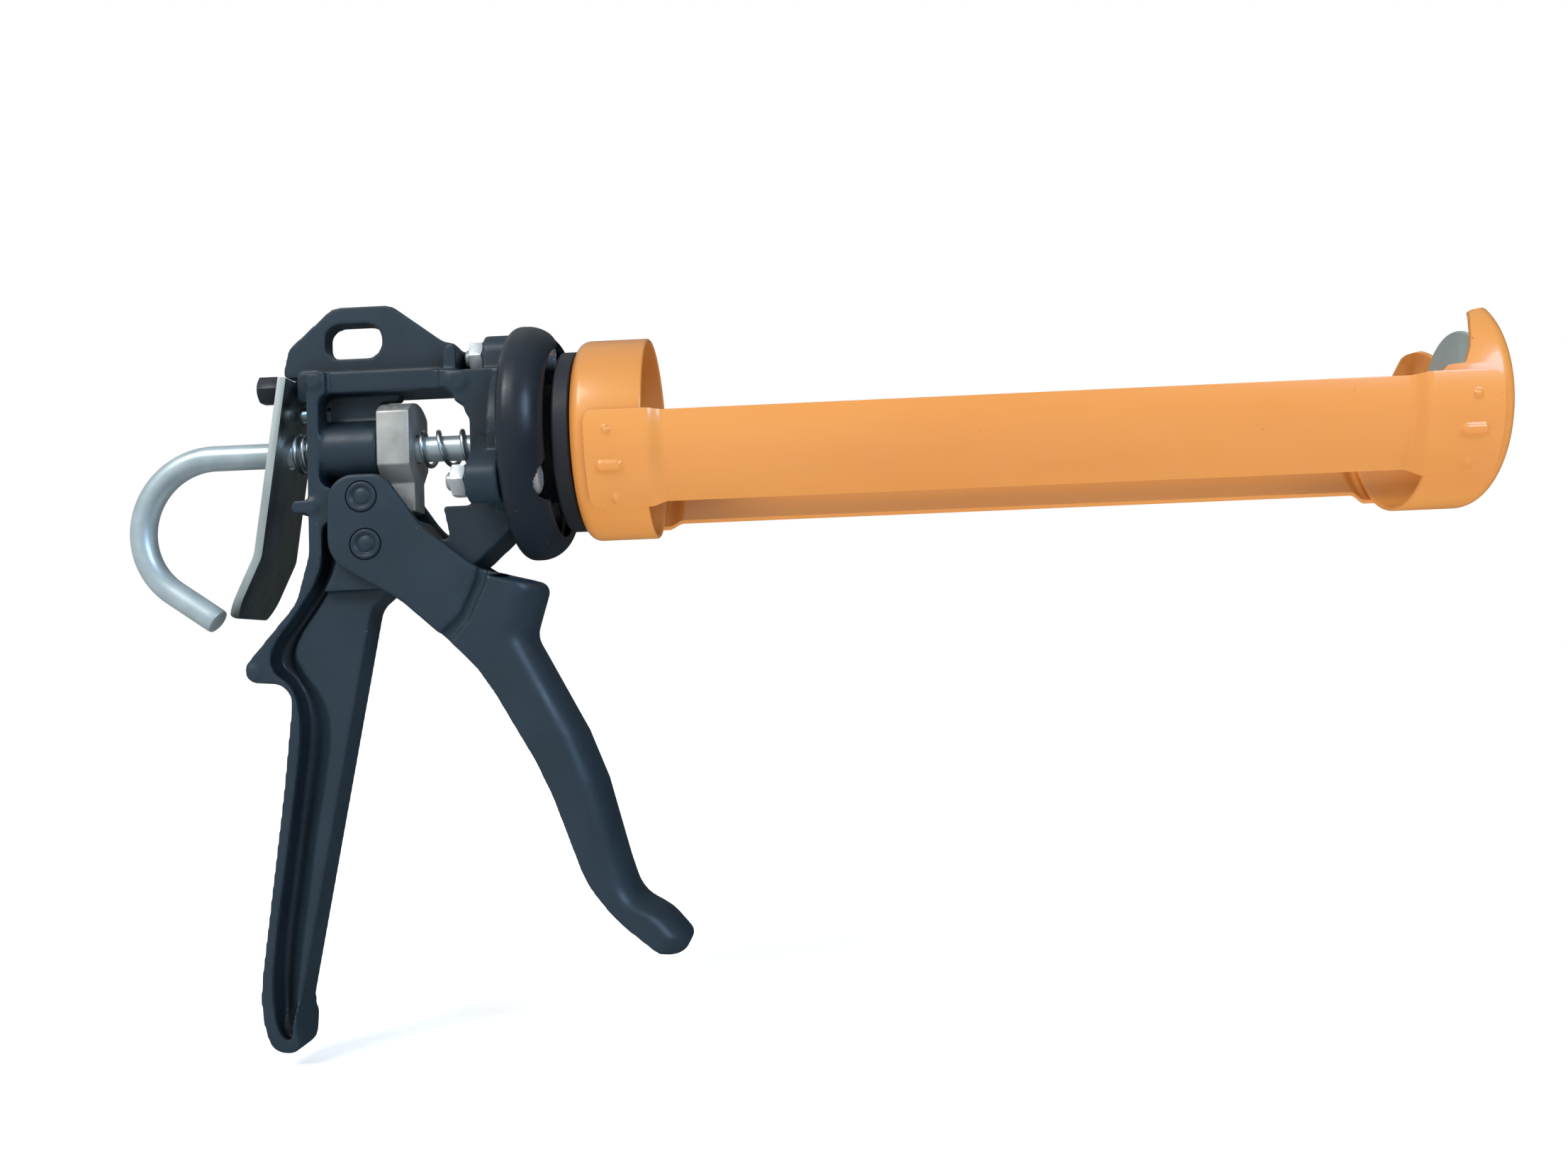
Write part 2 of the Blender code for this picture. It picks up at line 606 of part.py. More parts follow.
# --- carriage -----------------------------------------------------------------------------
def make_collar(material):
    """Black collar: a flange that turns inside the housing, a neck, and a rim behind the rear ring."""
    bore = ROD_BORE + 0.2
    profile = [(HUB_REAR, bore), (HUB_REAR, HUB_R), (HUB_REAR + HUB_T, HUB_R), (HUB_REAR + HUB_T, NECK_R),
               (COLLAR_REAR, NECK_R), (COLLAR_REAR, COLLAR_R - 2), (COLLAR_REAR + 1.2, COLLAR_R),
               (COLLAR_FRONT, COLLAR_R), (COLLAR_FRONT, RING_HOLE_R - 1), (HUB_REAR + HUB_T, RING_HOLE_R - 1),
               (HUB_REAR + HUB_T, bore)]
    collar = turned_x("swivel_collar", profile)
    for angle in BOLT_ANGLES:
        across, up = polar(RIVET_CIRCLE_R, angle + 60)
        cut(collar, cylinder_x("hole", RIVET_R + GAP, COLLAR_REAR - 2, 5, across, up, 12))
    return finish(collar, material)


def make_rivets(steel):
    """Rivets from inside the rear ring into the collar."""
    rivets = []
    for number, angle in enumerate(BOLT_ANGLES, 1):
        across, up = polar(RIVET_CIRCLE_R, angle + 60)
        rivet = cylinder_x("collar_rivet_%d" % number, RIVET_R, COLLAR_REAR - 1.5, SHEET + GAP + 0.5,
                           across, up, 16)
        join(rivet, turned_head(RIVET_HEAD_R, 1.4, SHEET + GAP, across, up))
        rivets.append(finish(rivet, steel))
    return rivets


def cup_profile(closed, opened, radius, edge, hole):
    """Profile of a pressed cup from its closed end to its open end, with a hole in its plate."""
    way = 1 if opened > closed else -1
    outer = [(closed + way * (edge - x), radius - edge + y) for x, y in arc(0, 0, edge, 0, 90, 5)]
    bend = max(edge - SHEET, 0.3)
    inner = [(closed + way * (edge - x), radius - edge + y) for x, y in arc(0, 0, bend, 90, 0, 5)]
    profile = [(closed, hole)]
    profile += outer
    profile += [(opened, radius), (opened, radius - SHEET)]
    profile += inner
    profile += [(closed + way * SHEET, hole)]
    return profile


def make_rear_ring(material):
    ring = turned_x("rear_ring", cup_profile(0, RING_L, RING_R, RING_EDGE, RING_HOLE_R))
    for angle in BOLT_ANGLES:
        across, up = polar(RIVET_CIRCLE_R, angle + 60)
        cut(ring, cylinder_x("hole", RIVET_R + GAP, -3, 5, across, up, 12))
    return finish(ring, material)


def make_front_cup(material):
    """Cup with a slot for the nozzle, open at the top so that the cartridge drops in."""
    cup = turned_x("front_cup", cup_profile(CARRIAGE_L, CUP_REAR, CUP_R, CUP_EDGE, NOZZLE_SLOT_R))
    half = NOZZLE_SLOT_R - 0.1
    over = CUP_R + 10
    flare = over - SLOT_FLARE_Z
    slot = [(-half, 0), (half, 0), (half, SLOT_FLARE_Z), (half + flare, over), (-half - flare, over),
            (-half, SLOT_FLARE_Z)]
    cut(cup, prism_x("nozzle_slot", slot, CUP_REAR - 5, CARRIAGE_L + 5))
    side = CUP_SIDE_TOP
    front = CARRIAGE_L
    mouth = rounded([(CUP_REAR - 5, side, 0), (front - 19.6, side, 1.5), (front - 17.2, side + 2.1, 1.5),
                     (front - 12.9, side + 2.5, 1), (front - 10.8, side + 7, 8), (front - 9, 14.4, 12),
                     (front - 7.1, HORN_TOP - 1.1, 1.5), (front - 2, HORN_TOP, 2), (front + 5, HORN_TOP, 0),
                     (front + 5, over, 0), (CUP_REAR - 5, over, 0)])
    cut(cup, prism_y("mouth", mouth, -60, 60))
    return finish(cup, material)


def make_rail(name, side, material):
    """Side rail: a strip curved to the cartridge, stepped out over the ring and the cup."""
    over_ring = RING_R + GAP
    over_cup = CUP_R + GAP
    inside = CARTRIDGE_R + 0.6
    rear = RING_L + 1
    front = CUP_REAR - 1
    stations = [(RAIL_START, over_ring), (rear, over_ring), (rear + RAIL_JOGGLE / 2, (over_ring + inside) / 2),
                (rear + RAIL_JOGGLE, inside), (CARRIAGE_L / 2, inside), (front - RAIL_JOGGLE, inside),
                (front - RAIL_JOGGLE / 2, (over_cup + inside) / 2), (front, over_cup),
                (CARRIAGE_L - CUP_EDGE, over_cup)]
    rings = []
    for x, radius in stations:
        angles = (RAIL_TOP_DEG, RAIL_LOW_DEG)
        ring = arc(0, 0, radius, *angles, 10) + arc(0, 0, radius + SHEET, *reversed(angles), 10)
        rings.append([(x, side * y, z) for y, z in ring])
    return finish(loft(name, rings), material)


# --- rod ----------------------------------------------------------------------------------
def make_rod(material):
    """Push rod with its J-shaped hook and a turned-down front end."""
    path = [(PISTON_X - GAP, 0, 0), (CARRIAGE_L / 2, 0, 0), (FLANGE_X, 0, 0), (ROD_STRAIGHT_X + 6, 0, 0)]
    for x, z in arc(ROD_STRAIGHT_X, -HOOK_R, HOOK_R, 90, 180, 10):
        path.append((x, 0, z))
    centre = (ROD_STRAIGHT_X - HOOK_R + HOOK_TIP_R, -HOOK_R)
    for x, z in arc(*centre, HOOK_TIP_R, 180, 180 + HOOK_TIP_DEG, 7)[1:]:
        path.append((x, 0, z))
    angle = math.radians(HOOK_TIP_DEG)
    x, _, z = path[-1]
    path.append((x + HOOK_TIP_L * math.sin(angle), 0, z - HOOK_TIP_L * math.cos(angle)))
    rod = swept("push_rod", path, ROD_R, 14)
    end = PISTON_X + PISTON_T + GAP + PISTON_NUT_T + 0.5
    join(rod, cylinder_x("stub", STUB_R, PISTON_X - GAP - 2, end, sides=16))
    return finish(rod, material)


def make_piston(steel):
    """Disc that pushes the cartridge's plunger, and the nut that holds it."""
    hole = STUB_R + GAP
    front = PISTON_X + PISTON_T
    profile = [(PISTON_X, hole), (PISTON_X, PISTON_R - 0.4), (PISTON_X + 0.4, PISTON_R), (front, PISTON_R),
               (front, hole)]
    finish(turned_x("piston_disc", profile), steel)
    nut_back = front + GAP
    nut = prism_x("piston_nut", hexagon(PISTON_NUT_AF), nut_back, nut_back + PISTON_NUT_T)
    cut(nut, cylinder_x("thread", hole, nut_back - 2, nut_back + PISTON_NUT_T + 2, sides=16))
    return finish(nut, steel)


# --- the gun ------------------------------------------------------------------------------
for old in list(bpy.data.objects):
    bpy.data.objects.remove(old)

gun = bpy.data.objects.new("gun", None)
gun.location = -Vector(GRIP) * MM
bpy.context.scene.collection.objects.link(gun)

carriage = bpy.data.objects.new("carriage", None)
carriage.parent = gun
carriage.rotation_euler.x = math.radians(CARRIAGE_TURN)
bpy.context.scene.collection.objects.link(carriage)

black = paint("black_powder_coat", (0.030, 0.036, 0.042), 0.45)
collar_black = paint("black_collar", (0.022, 0.024, 0.028), 0.5)
orange = paint("orange_enamel", (0.80, 0.30, 0.055), 0.25)
zinc = paint("bright_zinc", (0.66, 0.70, 0.72), 0.28, 1.0)
blued_zinc = paint("dull_zinc", (0.34, 0.42, 0.43), 0.45, 1.0)
bare_steel = paint("bare_steel", (0.50, 0.49, 0.46), 0.4, 1.0)

make_frame(black)
make_housing(black)
make_fasteners(zinc)
make_lever_screw(black)
make_stop_pin(zinc)
make_pin("trigger_pivot_pin", PIVOT, black)

make_lever(zinc)
make_springs(zinc)
make_drive_block(bare_steel)
make_trigger(black)
make_pin("drive_pin", DRIVE_PIN, black)

on_carriage(make_collar(collar_black), *make_rivets(zinc), make_rear_ring(orange), make_front_cup(orange),
            make_rail("side_rail_right", -1, orange), make_rail("side_rail_left", 1, orange))

make_rod(zinc)
make_piston(blued_zinc)
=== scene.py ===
"""Looks of the caulking gun: cast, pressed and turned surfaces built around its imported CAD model.

Shapes are written in millimetres from the rod's axis (y = z = 0) and from the back of the rear ring
(x = 0), as in the CAD source, and moved to the model's own frame as they are made.
"""

import math

import bmesh
import bpy
from mathutils import Matrix, Vector


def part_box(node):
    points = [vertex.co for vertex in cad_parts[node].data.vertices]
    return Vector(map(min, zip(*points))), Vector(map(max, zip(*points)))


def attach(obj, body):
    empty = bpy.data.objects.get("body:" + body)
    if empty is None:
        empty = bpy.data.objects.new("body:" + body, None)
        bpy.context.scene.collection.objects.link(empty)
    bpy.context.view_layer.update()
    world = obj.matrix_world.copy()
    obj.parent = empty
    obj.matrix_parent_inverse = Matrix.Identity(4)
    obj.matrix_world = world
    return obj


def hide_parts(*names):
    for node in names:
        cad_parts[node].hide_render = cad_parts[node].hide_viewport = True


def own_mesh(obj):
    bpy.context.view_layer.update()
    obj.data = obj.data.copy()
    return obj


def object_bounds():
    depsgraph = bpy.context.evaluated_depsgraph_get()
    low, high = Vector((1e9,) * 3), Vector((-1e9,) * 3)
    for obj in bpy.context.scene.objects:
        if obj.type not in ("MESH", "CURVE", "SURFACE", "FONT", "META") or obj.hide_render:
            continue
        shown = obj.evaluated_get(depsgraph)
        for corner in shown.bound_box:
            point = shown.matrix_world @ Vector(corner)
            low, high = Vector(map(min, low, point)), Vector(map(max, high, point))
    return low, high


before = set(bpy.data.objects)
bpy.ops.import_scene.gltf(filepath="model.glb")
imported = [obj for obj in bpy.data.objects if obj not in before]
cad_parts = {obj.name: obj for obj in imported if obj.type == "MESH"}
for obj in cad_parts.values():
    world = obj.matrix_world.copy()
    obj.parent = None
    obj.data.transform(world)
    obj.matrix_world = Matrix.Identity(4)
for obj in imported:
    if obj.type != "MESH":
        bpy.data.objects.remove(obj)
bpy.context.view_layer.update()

MM = 0.001
SIDES = (-1, 1)     # right and left of the gun
THROUGH = 20        # half length of a cutter that passes right through a piece
RING_LOW, RING_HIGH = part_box("rear_ring")
AXIS = Vector((RING_LOW.x, 0.0, (RING_LOW.z + RING_HIGH.z) / 2))


def span(node):
    """(x0, x1, y0, y1, z0, z1) of a CAD node, in millimetres from the rod's axis."""
    low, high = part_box(node)
    low = (low - AXIS) / MM
    high = (high - AXIS) / MM
    return low.x, high.x, low.y, high.y, low.z, high.z


# --- sizes, from the frame where it has them ---
RING_R = 27.2
CUP_R = 28.0
SHEET = 1.2
RIVET_CIRCLE_R = 12.6
RIVET_TURN = 60         # degrees from each housing screw to the next rivet
RIVET_HOLE_R = 2.3
CARRIAGE_TURN = -4.2    # degrees about the rod, as in the frame
RING_L = span("rear_ring")[1]
CUP_REAR, CARRIAGE_L = span("front_cup")[:2]
HORN_TOP = 20.5
RAIL_START, RAIL_END = span("side_rail_left")[:2]
ROD_R = span("push_rod")[3]
ROD_END = span("push_rod")[1]
BLOCK_BACK, BLOCK_FRONT = span("drive_block")[:2]
BELL_REAR, BELL_FRONT = span("swivel_housing")[:2]
HUB_REAR, COLLAR_FRONT = span("swivel_collar")[:2]
FLANGE_X = span("frame_casting")[1]
TRIGGER_HALF = span("trigger")[3]

PLAY = 0.3              # round a screw or a pin
BORE = ROD_R + 0.4
FRAME_HALF = 8.5        # ribs of the casting
BEAM_HALF = 7.0
PLATE_HALF = 3.0        # hanging plate
HANDLE_HALF = 5.2       # flat front part of the handle
GROOVE_HALF = 2.6       # bottom of the groove beside the handle's rear rib
WEB_HALF = 2.0          # webs between the beam and the boss
LOBE_HALF = 5.5         # seat of the lever's screw
REAR_X = -74.5
WINDOW_REAR = REAR_X + 3.3
FRONT_WALL_X = -30.1
BEAM_LOW = 15.2
BEAM_TOP = 21.0
PLATE_TOP = 40.0
BOSS_R = 8.3
BOLT_CIRCLE_R = 24.6
BOLT_ANGLES = (90.0, 210.0, 330.0)
BOLT_NAMES = ("top", "right", "left")
BOLT_R = 2.4
LUG_R = 6.0
LUG_X = FLANGE_X - 8.6
PIVOT = (-57.9, -26.6)
DRIVE_PIN = (-58.8, -13.8)
PIN_R = 3.0
FULCRUM = (-80.0, 10.5)
SCREW_Z = 18.2
LEVER_TILT = 8.7        # degrees
LEVER_T = 2.2
WIRE_R = 0.65
COIL_R = ROD_R + 1.15       # return spring
LEVER_COIL_R = ROD_R + 1.7  # release spring


# --- outlines ---
def arc(cx, cy, radius, start, end, steps):
    """Points on an arc, from start to end degrees."""
    points = []
    for i in range(steps + 1):
        angle = math.radians(start + (end - start) * i / steps)
        points.append((cx + radius * math.cos(angle), cy + radius * math.sin(angle)))
    return points


def rounded(corners, step=9.0):
    """Closed outline of corners (x, y, fillet radius); a fillet never passes its edges' middles.

    step is the turn between two points of a fillet, in degrees.
    """
    points = []
    count = len(corners)
    for i, (x, y, radius) in enumerate(corners):
        here = Vector((x, y))
        before = Vector(corners[i - 1][:2]) - here
        after = Vector(corners[(i + 1) % count][:2]) - here
        half = before.angle(after) / 2
        most = 0.48 * min(before.length, after.length)
        reach = min(radius / math.tan(half), most)
        if radius == 0 or reach < 0.05:
            points.append((x, y))
            continue
        radius = reach * math.tan(half)
        first = here + before.normalized() * reach
        last = here + after.normalized() * reach
        middle = (before.normalized() + after.normalized()).normalized()
        centre = here + middle * radius / math.sin(half)
        steps = max(1, round(math.degrees(math.pi - 2 * half) / step))
        a0 = math.atan2(first.y - centre.y, first.x - centre.x)
        a1 = math.atan2(last.y - centre.y, last.x - centre.x)
        sweep = (a1 - a0 + math.pi) % (2 * math.pi) - math.pi
        for k in range(steps + 1):
            angle = a0 + sweep * k / steps
            points.append((centre.x + radius * math.cos(angle),
                           centre.y + radius * math.sin(angle)))
    return points


def rectangle(x0, x1, y0, y1, radius=0.0):
    return rounded([(x0, y0, radius), (x1, y0, radius), (x1, y1, radius), (x0, y1, radius)])


def smooth_loop(corners, steps=5):
    """Closed curve through the corners, with the same number of points between each pair."""
    points = []
    count = len(corners)
    for i in range(count):
        a, b, c, d = (Vector(corners[(i + k) % count]) for k in (-1, 0, 1, 2))
        for k in range(steps):
            t = k / steps
            points.append(tuple(0.5 * (2 * b + (c - a) * t + (2 * a - 5 * b + 4 * c - d) * t * t
                                       + (3 * b - a - 3 * c + d) * t ** 3)))
    return points


def polar(radius, degrees):
    angle = math.radians(degrees)
    return radius * math.cos(angle), radius * math.sin(angle)


# --- solids ---
def new_object(name, bm):
    """Object of a mesh given in millimetres from the rod's axis."""
    bmesh.ops.recalc_face_normals(bm, faces=bm.faces)
    bm.transform(Matrix.Translation(AXIS) @ Matrix.Scale(MM, 4))
    mesh = bpy.data.meshes.new(name)
    bm.to_mesh(mesh)
    bm.free()
    piece = bpy.data.objects.new(name, mesh)
    bpy.context.scene.collection.objects.link(piece)
    return piece


def loft(name, rings):
    """Closed solid through rings that all have the same number of points."""
    bm = bmesh.new()
    rows = [[bm.verts.new(point) for point in ring] for ring in rings]
    count = len(rows[0])
    for low, high in zip(rows, rows[1:]):
        for i in range(count):
            j = (i + 1) % count
            bm.faces.new((low[i], low[j], high[j], high[i]))
    bm.faces.new(rows[0])
    bm.faces.new(rows[-1])
    return new_object(name, bm)


def prism_y(name, outline, low, high):
    return loft(name, [[(x, y, z) for x, z in outline] for y in (low, high)])


def prism_x(name, outline, low, high):
    return loft(name, [[(x, y, z) for y, z in outline] for x in (low, high)])


def cylinder_x(name, radius, low, high, cy=0.0, cz=0.0, sides=48):
    return prism_x(name, arc(cy, cz, radius, 0, 360 - 360 / sides, sides - 1), low, high)


def cylinder_y(name, radius, low, high, cx, cz, sides=48):
    return prism_y(name, arc(cx, cz, radius, 0, 360 - 360 / sides, sides - 1), low, high)


def turned(name, profile):
    """Solid turned about the rod's axis from a closed profile of (x, radius) off the axis."""
    sides = 144
    bm = bmesh.new()
    rows = []
    for i in range(sides):
        across, up = polar(1.0, 360 * (i + 0.5) / sides)
        rows.append([bm.verts.new((x, r * across, r * up)) for x, r in profile])
    count = len(profile)
    for i in range(sides):
        row, following = rows[i], rows[(i + 1) % sides]
        for k in range(count):
            n = (k + 1) % count
            bm.faces.new((row[k], row[n], following[n], following[k]))
    return new_object(name, bm)


def turned_solid(name, profile, sides, cy, cz):
    """Turned solid with no hole, about an axis along X: the profile's ends lie next to the axis."""
    last = 360 - 360 / sides
    return loft(name, [[(x, y, z) for y, z in arc(cy, cz, r, 0, last, sides - 1)]
                       for x, r in profile])


def swept(name, path, radius, sides):
    """Round wire along a path of points, its ends slightly domed."""
    end = ((0.3, 0.0), (0.8, 0.04), (0.96, 0.12), (1, 0.3))    # (size, shift) over the radius
    path = [Vector(point) for point in path]
    normal = Vector((0, 1, 0))
    rings = []
    last = len(path) - 1
    for i, point in enumerate(path):
        along = (path[min(i + 1, last)] - path[max(i - 1, 0)]).normalized()
        normal = (normal - along * normal.dot(along)).normalized()
        side = along.cross(normal)

        def ring(share, shift):
            centre = point + along * shift * radius
            turns = [2 * math.pi * k / sides for k in range(sides)]
            return [centre + (normal * math.cos(a) + side * math.sin(a)) * radius * share
                    for a in turns]

        if i == 0:
            rings += [ring(share, shift) for share, shift in end]
        elif i == last:
            rings += [ring(share, -shift) for share, shift in reversed(end)]
        else:
            rings.append(ring(1, 0))
    return loft(name, rings)


def bake(piece):
    """Turns a piece's modifiers into its mesh."""
    bpy.context.view_layer.update()
    shape = piece.evaluated_get(bpy.context.evaluated_depsgraph_get())
    mesh = bpy.data.meshes.new_from_object(shape)
    piece.modifiers.clear()
    piece.data = mesh
    return piece


def combine(target, other, operation):
    """Boolean of two solids, which uses the second one up."""
    boolean = target.modifiers.new("shape", "BOOLEAN")
    boolean.operation = operation
    boolean.solver = "EXACT"
    boolean.object = other
    bake(target)
    bpy.data.objects.remove(other)
    return target


def join(target, *others):
    for other in others:
        combine(target, other, "UNION")
    return target


def cut(target, *others):
    for other in others:
        combine(target, other, "DIFFERENCE")
    return target


def soften(piece, voxel, passes):
    """Casts a solid: even small faces, with every edge and corner rounded over."""
    grid = piece.modifiers.new("grid", "REMESH")
    grid.mode = "VOXEL"
    grid.voxel_size = voxel * MM
    smooth = piece.modifiers.new("smooth", "SMOOTH")
    smooth.factor = 0.5
    smooth.iterations = passes
    return bake(piece)


def edge(piece, width, segments=3, angle=35):
    """Rounds a piece's edges."""
    bevel = piece.modifiers.new("edge", "BEVEL")
    bevel.width = width * MM
    bevel.segments = segments
    bevel.limit_method = "ANGLE"
    bevel.angle_limit = math.radians(angle)
    bevel.harden_normals = False
    return bake(piece)


def dress(piece, body, slot, material, *nodes, sharp=40):
    """Material, smooth shading, body, and the CAD nodes that the piece stands for."""
    if body == "carriage":
        turn = Matrix.Rotation(math.radians(CARRIAGE_TURN), 4, "X")
        piece.data.transform(Matrix.Translation(AXIS) @ turn @ Matrix.Translation(-AXIS))
    piece.data.name = piece.name
    piece.data.materials.clear()
    piece.data.materials.append(material)
    piece.data.shade_smooth()
    if sharp:
        piece.data.set_sharp_from_angle(angle=math.radians(sharp))
    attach(piece, body)
    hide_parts(*nodes)
    return piece


# --- materials ---
class Paint:
    """A Principled material and short ways of wiring its texture nodes."""

    def __init__(self, name, roughness, metallic=0.0, coat=0.0, coat_roughness=0.1):
        self.material = bpy.data.materials.new(name)
        self.material.use_nodes = True
        self.nodes = self.material.node_tree.nodes
        self.links = self.material.node_tree.links
        self.shader = self.nodes["Principled BSDF"]
        self.shader.inputs["Roughness"].default_value = roughness
        self.shader.inputs["Metallic"].default_value = metallic
        self.shader.inputs["Coat Weight"].default_value = coat
        self.shader.inputs["Coat Roughness"].default_value = coat_roughness
        self.place = self.nodes.new("ShaderNodeTexCoord").outputs["Object"]

    def noise(self, scale, detail, stretch=(1, 1, 1)):
        """Noise over the piece, in cycles per metre, drawn out by stretch."""
        mapping = self.nodes.new("ShaderNodeMapping")
        mapping.inputs["Scale"].default_value = stretch
        self.links.new(self.place, mapping.inputs["Vector"])
        node = self.nodes.new("ShaderNodeTexNoise")
        node.inputs["Scale"].default_value = scale
        node.inputs["Detail"].default_value = detail
        self.links.new(mapping.outputs["Vector"], node.inputs["Vector"])
        return node.outputs["Fac"]

    def ramp(self, source, stops):
        """Colour ramp with stops of (position, (r, g, b))."""
        node = self.nodes.new("ShaderNodeValToRGB")
        elements = node.color_ramp.elements
        while len(elements) < len(stops):
            elements.new(0.5)
        for element, (position, colour) in zip(elements, stops):
            element.position = position
            element.color = (*colour, 1.0)
        self.links.new(source, node.inputs["Fac"])
        return node.outputs["Color"]

    def range(self, source, low, high, start=0.3, end=0.7):
        """Takes start to end over to low to high."""
        node = self.nodes.new("ShaderNodeMapRange")
        node.inputs["From Min"].default_value = start
        node.inputs["From Max"].default_value = end
        node.inputs["To Min"].default_value = low
        node.inputs["To Max"].default_value = high
        self.links.new(source, node.inputs["Value"])
        return node.outputs["Result"]

    def blend(self, factor, first, second):
        """Mixes two colours, each an output or an (r, g, b)."""
        node = self.nodes.new("ShaderNodeMix")
        node.data_type = "RGBA"
        self.links.new(factor, node.inputs["Factor"])
        for slot, colour in zip((node.inputs[6], node.inputs[7]), (first, second)):
            if isinstance(colour, tuple):
                slot.default_value = (*colour, 1.0)
            else:
                self.links.new(colour, slot)
        return node.outputs[2]

    def painted_shade_mask(self, reach):
        """Mask for painted shade: 1 on open faces, 0 deep in a recess, where the colour is darkened
        as shade; reach is in metres.
        """
        node = self.nodes.new("ShaderNodeAmbientOcclusion")
        node.samples = 8
        node.only_local = True
        node.inputs["Distance"].default_value = reach
        return self.range(node.outputs["AO"], 0.0, 1.0, 0.25, 0.9)

    def colour(self, source):
        self.links.new(source, self.shader.inputs["Base Color"])

    def rough(self, source):
        self.links.new(source, self.shader.inputs["Roughness"])

    def bump(self, source, strength, distance):
        """Relief of the given height, in metres."""
        node = self.nodes.new("ShaderNodeBump")
        node.inputs["Strength"].default_value = strength
        node.inputs["Distance"].default_value = distance
        self.links.new(source, node.inputs["Height"])
        self.links.new(node.outputs["Normal"], self.shader.inputs["Normal"])


def black_coat(name, light, dark, roughness):
    """Satin black coating: fine pebble, faint clouds, a few pale specks, and painted shade
    darkening its recesses.
    """
    # recess is a painted shade colour, not a colour of the coating
    speck, recess = (0.10, 0.105, 0.11), (0.003, 0.005, 0.007)
    paint = Paint(name, roughness)
    paint.shader.inputs["Specular IOR Level"].default_value = 0.34
    clouds = paint.noise(60, 4)
    base = paint.ramp(clouds, [(0.35, dark), (0.65, light)])
    specks = paint.range(paint.noise(900, 1), 0.0, 1.0, 0.795, 0.83)
    coat = paint.blend(specks, base, speck)
    # painted shade: the colour darkens to recess wherever ambient occlusion finds a hollow
    paint.colour(paint.blend(paint.painted_shade_mask(0.016), recess, coat))
    paint.rough(paint.range(paint.noise(150, 3), roughness - 0.05, roughness + 0.06))
    paint.bump(paint.noise(2600, 2), 0.22, 0.00004)
    return paint.material


def enamel():
    """Orange gloss enamel over pressed sheet, with orange peel and a little flow."""
    dark, light, speck = (0.71, 0.252, 0.046), (0.77, 0.302, 0.062), (0.50, 0.16, 0.035)
    paint = Paint("orange_enamel", 0.34, coat=0.3, coat_roughness=0.1)
    flow = paint.noise(30, 3, (0.25, 1, 1))
    base = paint.ramp(flow, [(0.3, dark), (0.7, light)])
    specks = paint.range(paint.noise(620, 1), 0.0, 1.0, 0.80, 0.83)
    paint.colour(paint.blend(specks, base, speck))
    paint.rough(paint.range(paint.noise(90, 3), 0.29, 0.38))
    paint.bump(paint.noise(420, 2), 0.10, 0.00012)
    return paint.material


def zinc(name, light, dark, roughness, grain=(1, 1, 1), scale=400, metallic=1.0):
    """Zinc-plated steel, its grain drawn along the piece."""
    paint = Paint(name, roughness, metallic=metallic)
    streaks = paint.noise(scale, 4, grain)
    paint.colour(paint.ramp(streaks, [(0.3, dark), (0.7, light)]))
    wear = paint.noise(scale * 0.6, 3, grain)
    paint.rough(paint.range(wear, roughness - 0.07, roughness + 0.1))
    paint.bump(streaks, 0.12, 0.00003)
    return paint.material


def sintered():
    """Bare sintered steel: grey-beige, matt and finely pitted."""
    dark, light = (0.44, 0.43, 0.40), (0.60, 0.59, 0.56)
    paint = Paint("sintered_steel", 0.45, metallic=0.75)
    paint.colour(paint.ramp(paint.noise(140, 5), [(0.3, dark), (0.7, light)]))
    paint.rough(paint.range(paint.noise(700, 2), 0.38, 0.55))
    paint.bump(paint.noise(2200, 3), 0.35, 0.00006)
    return paint.material


BLACK = black_coat("black_casting", (0.019, 0.034, 0.047), (0.015, 0.027, 0.038), 0.4)
HOUSING = black_coat("black_housing", (0.014, 0.018, 0.024), (0.010, 0.014, 0.020), 0.32)
COLLAR = black_coat("black_collar", (0.020, 0.022, 0.026), (0.015, 0.017, 0.020), 0.5)
ORANGE = enamel()
ROD_ZINC = zinc("zinc_rod", (0.60, 0.68, 0.70), (0.49, 0.57, 0.59), 0.36,
                scale=160, metallic=0.7)
ZINC = zinc("zinc_plate", (0.75, 0.79, 0.81), (0.60, 0.65, 0.67), 0.3)
PLATE_ZINC = zinc("zinc_lever", (0.66, 0.71, 0.70), (0.50, 0.55, 0.54), 0.34,
                  grain=(1, 1, 0.15), scale=300)
DULL_ZINC = zinc("zinc_piston", (0.60, 0.67, 0.64), (0.50, 0.57, 0.55), 0.44,
                 grain=(1, 1, 0.2), scale=240, metallic=0.7)
SCREW_ZINC = zinc("zinc_screws", (0.74, 0.77, 0.78), (0.60, 0.63, 0.64), 0.34,
                  metallic=0.75)
SINTERED = sintered()


# --- frame casting ---
def frame_outline():
    """Side view of the casting: rear rib, spur, handle, lower web and front wall."""
    return rounded([
        (REAR_X, BEAM_TOP, 2.5), (REAR_X, -28, 14), (-78.3, -41.5, 12),
        (-92.9, -58.2, 2.6), (-91, -62.4, 2.6), (-79.4, -63.4, 9), (-82.6, -92, 120),
        (-90.0, -146, 40), (-87.8, -161.4, 6), (-79.8, -161.4, 5), (-80.6, -150.5, 9),
        (-58.8, -43.5, 6),
        (-50.5, -36.5, 9), (-30, -33.4, 5), (FLANGE_X, -23, 6),
        (FLANGE_X, 20, 0), (-36, 20, 3), (-40, BEAM_TOP, 3),
    ])


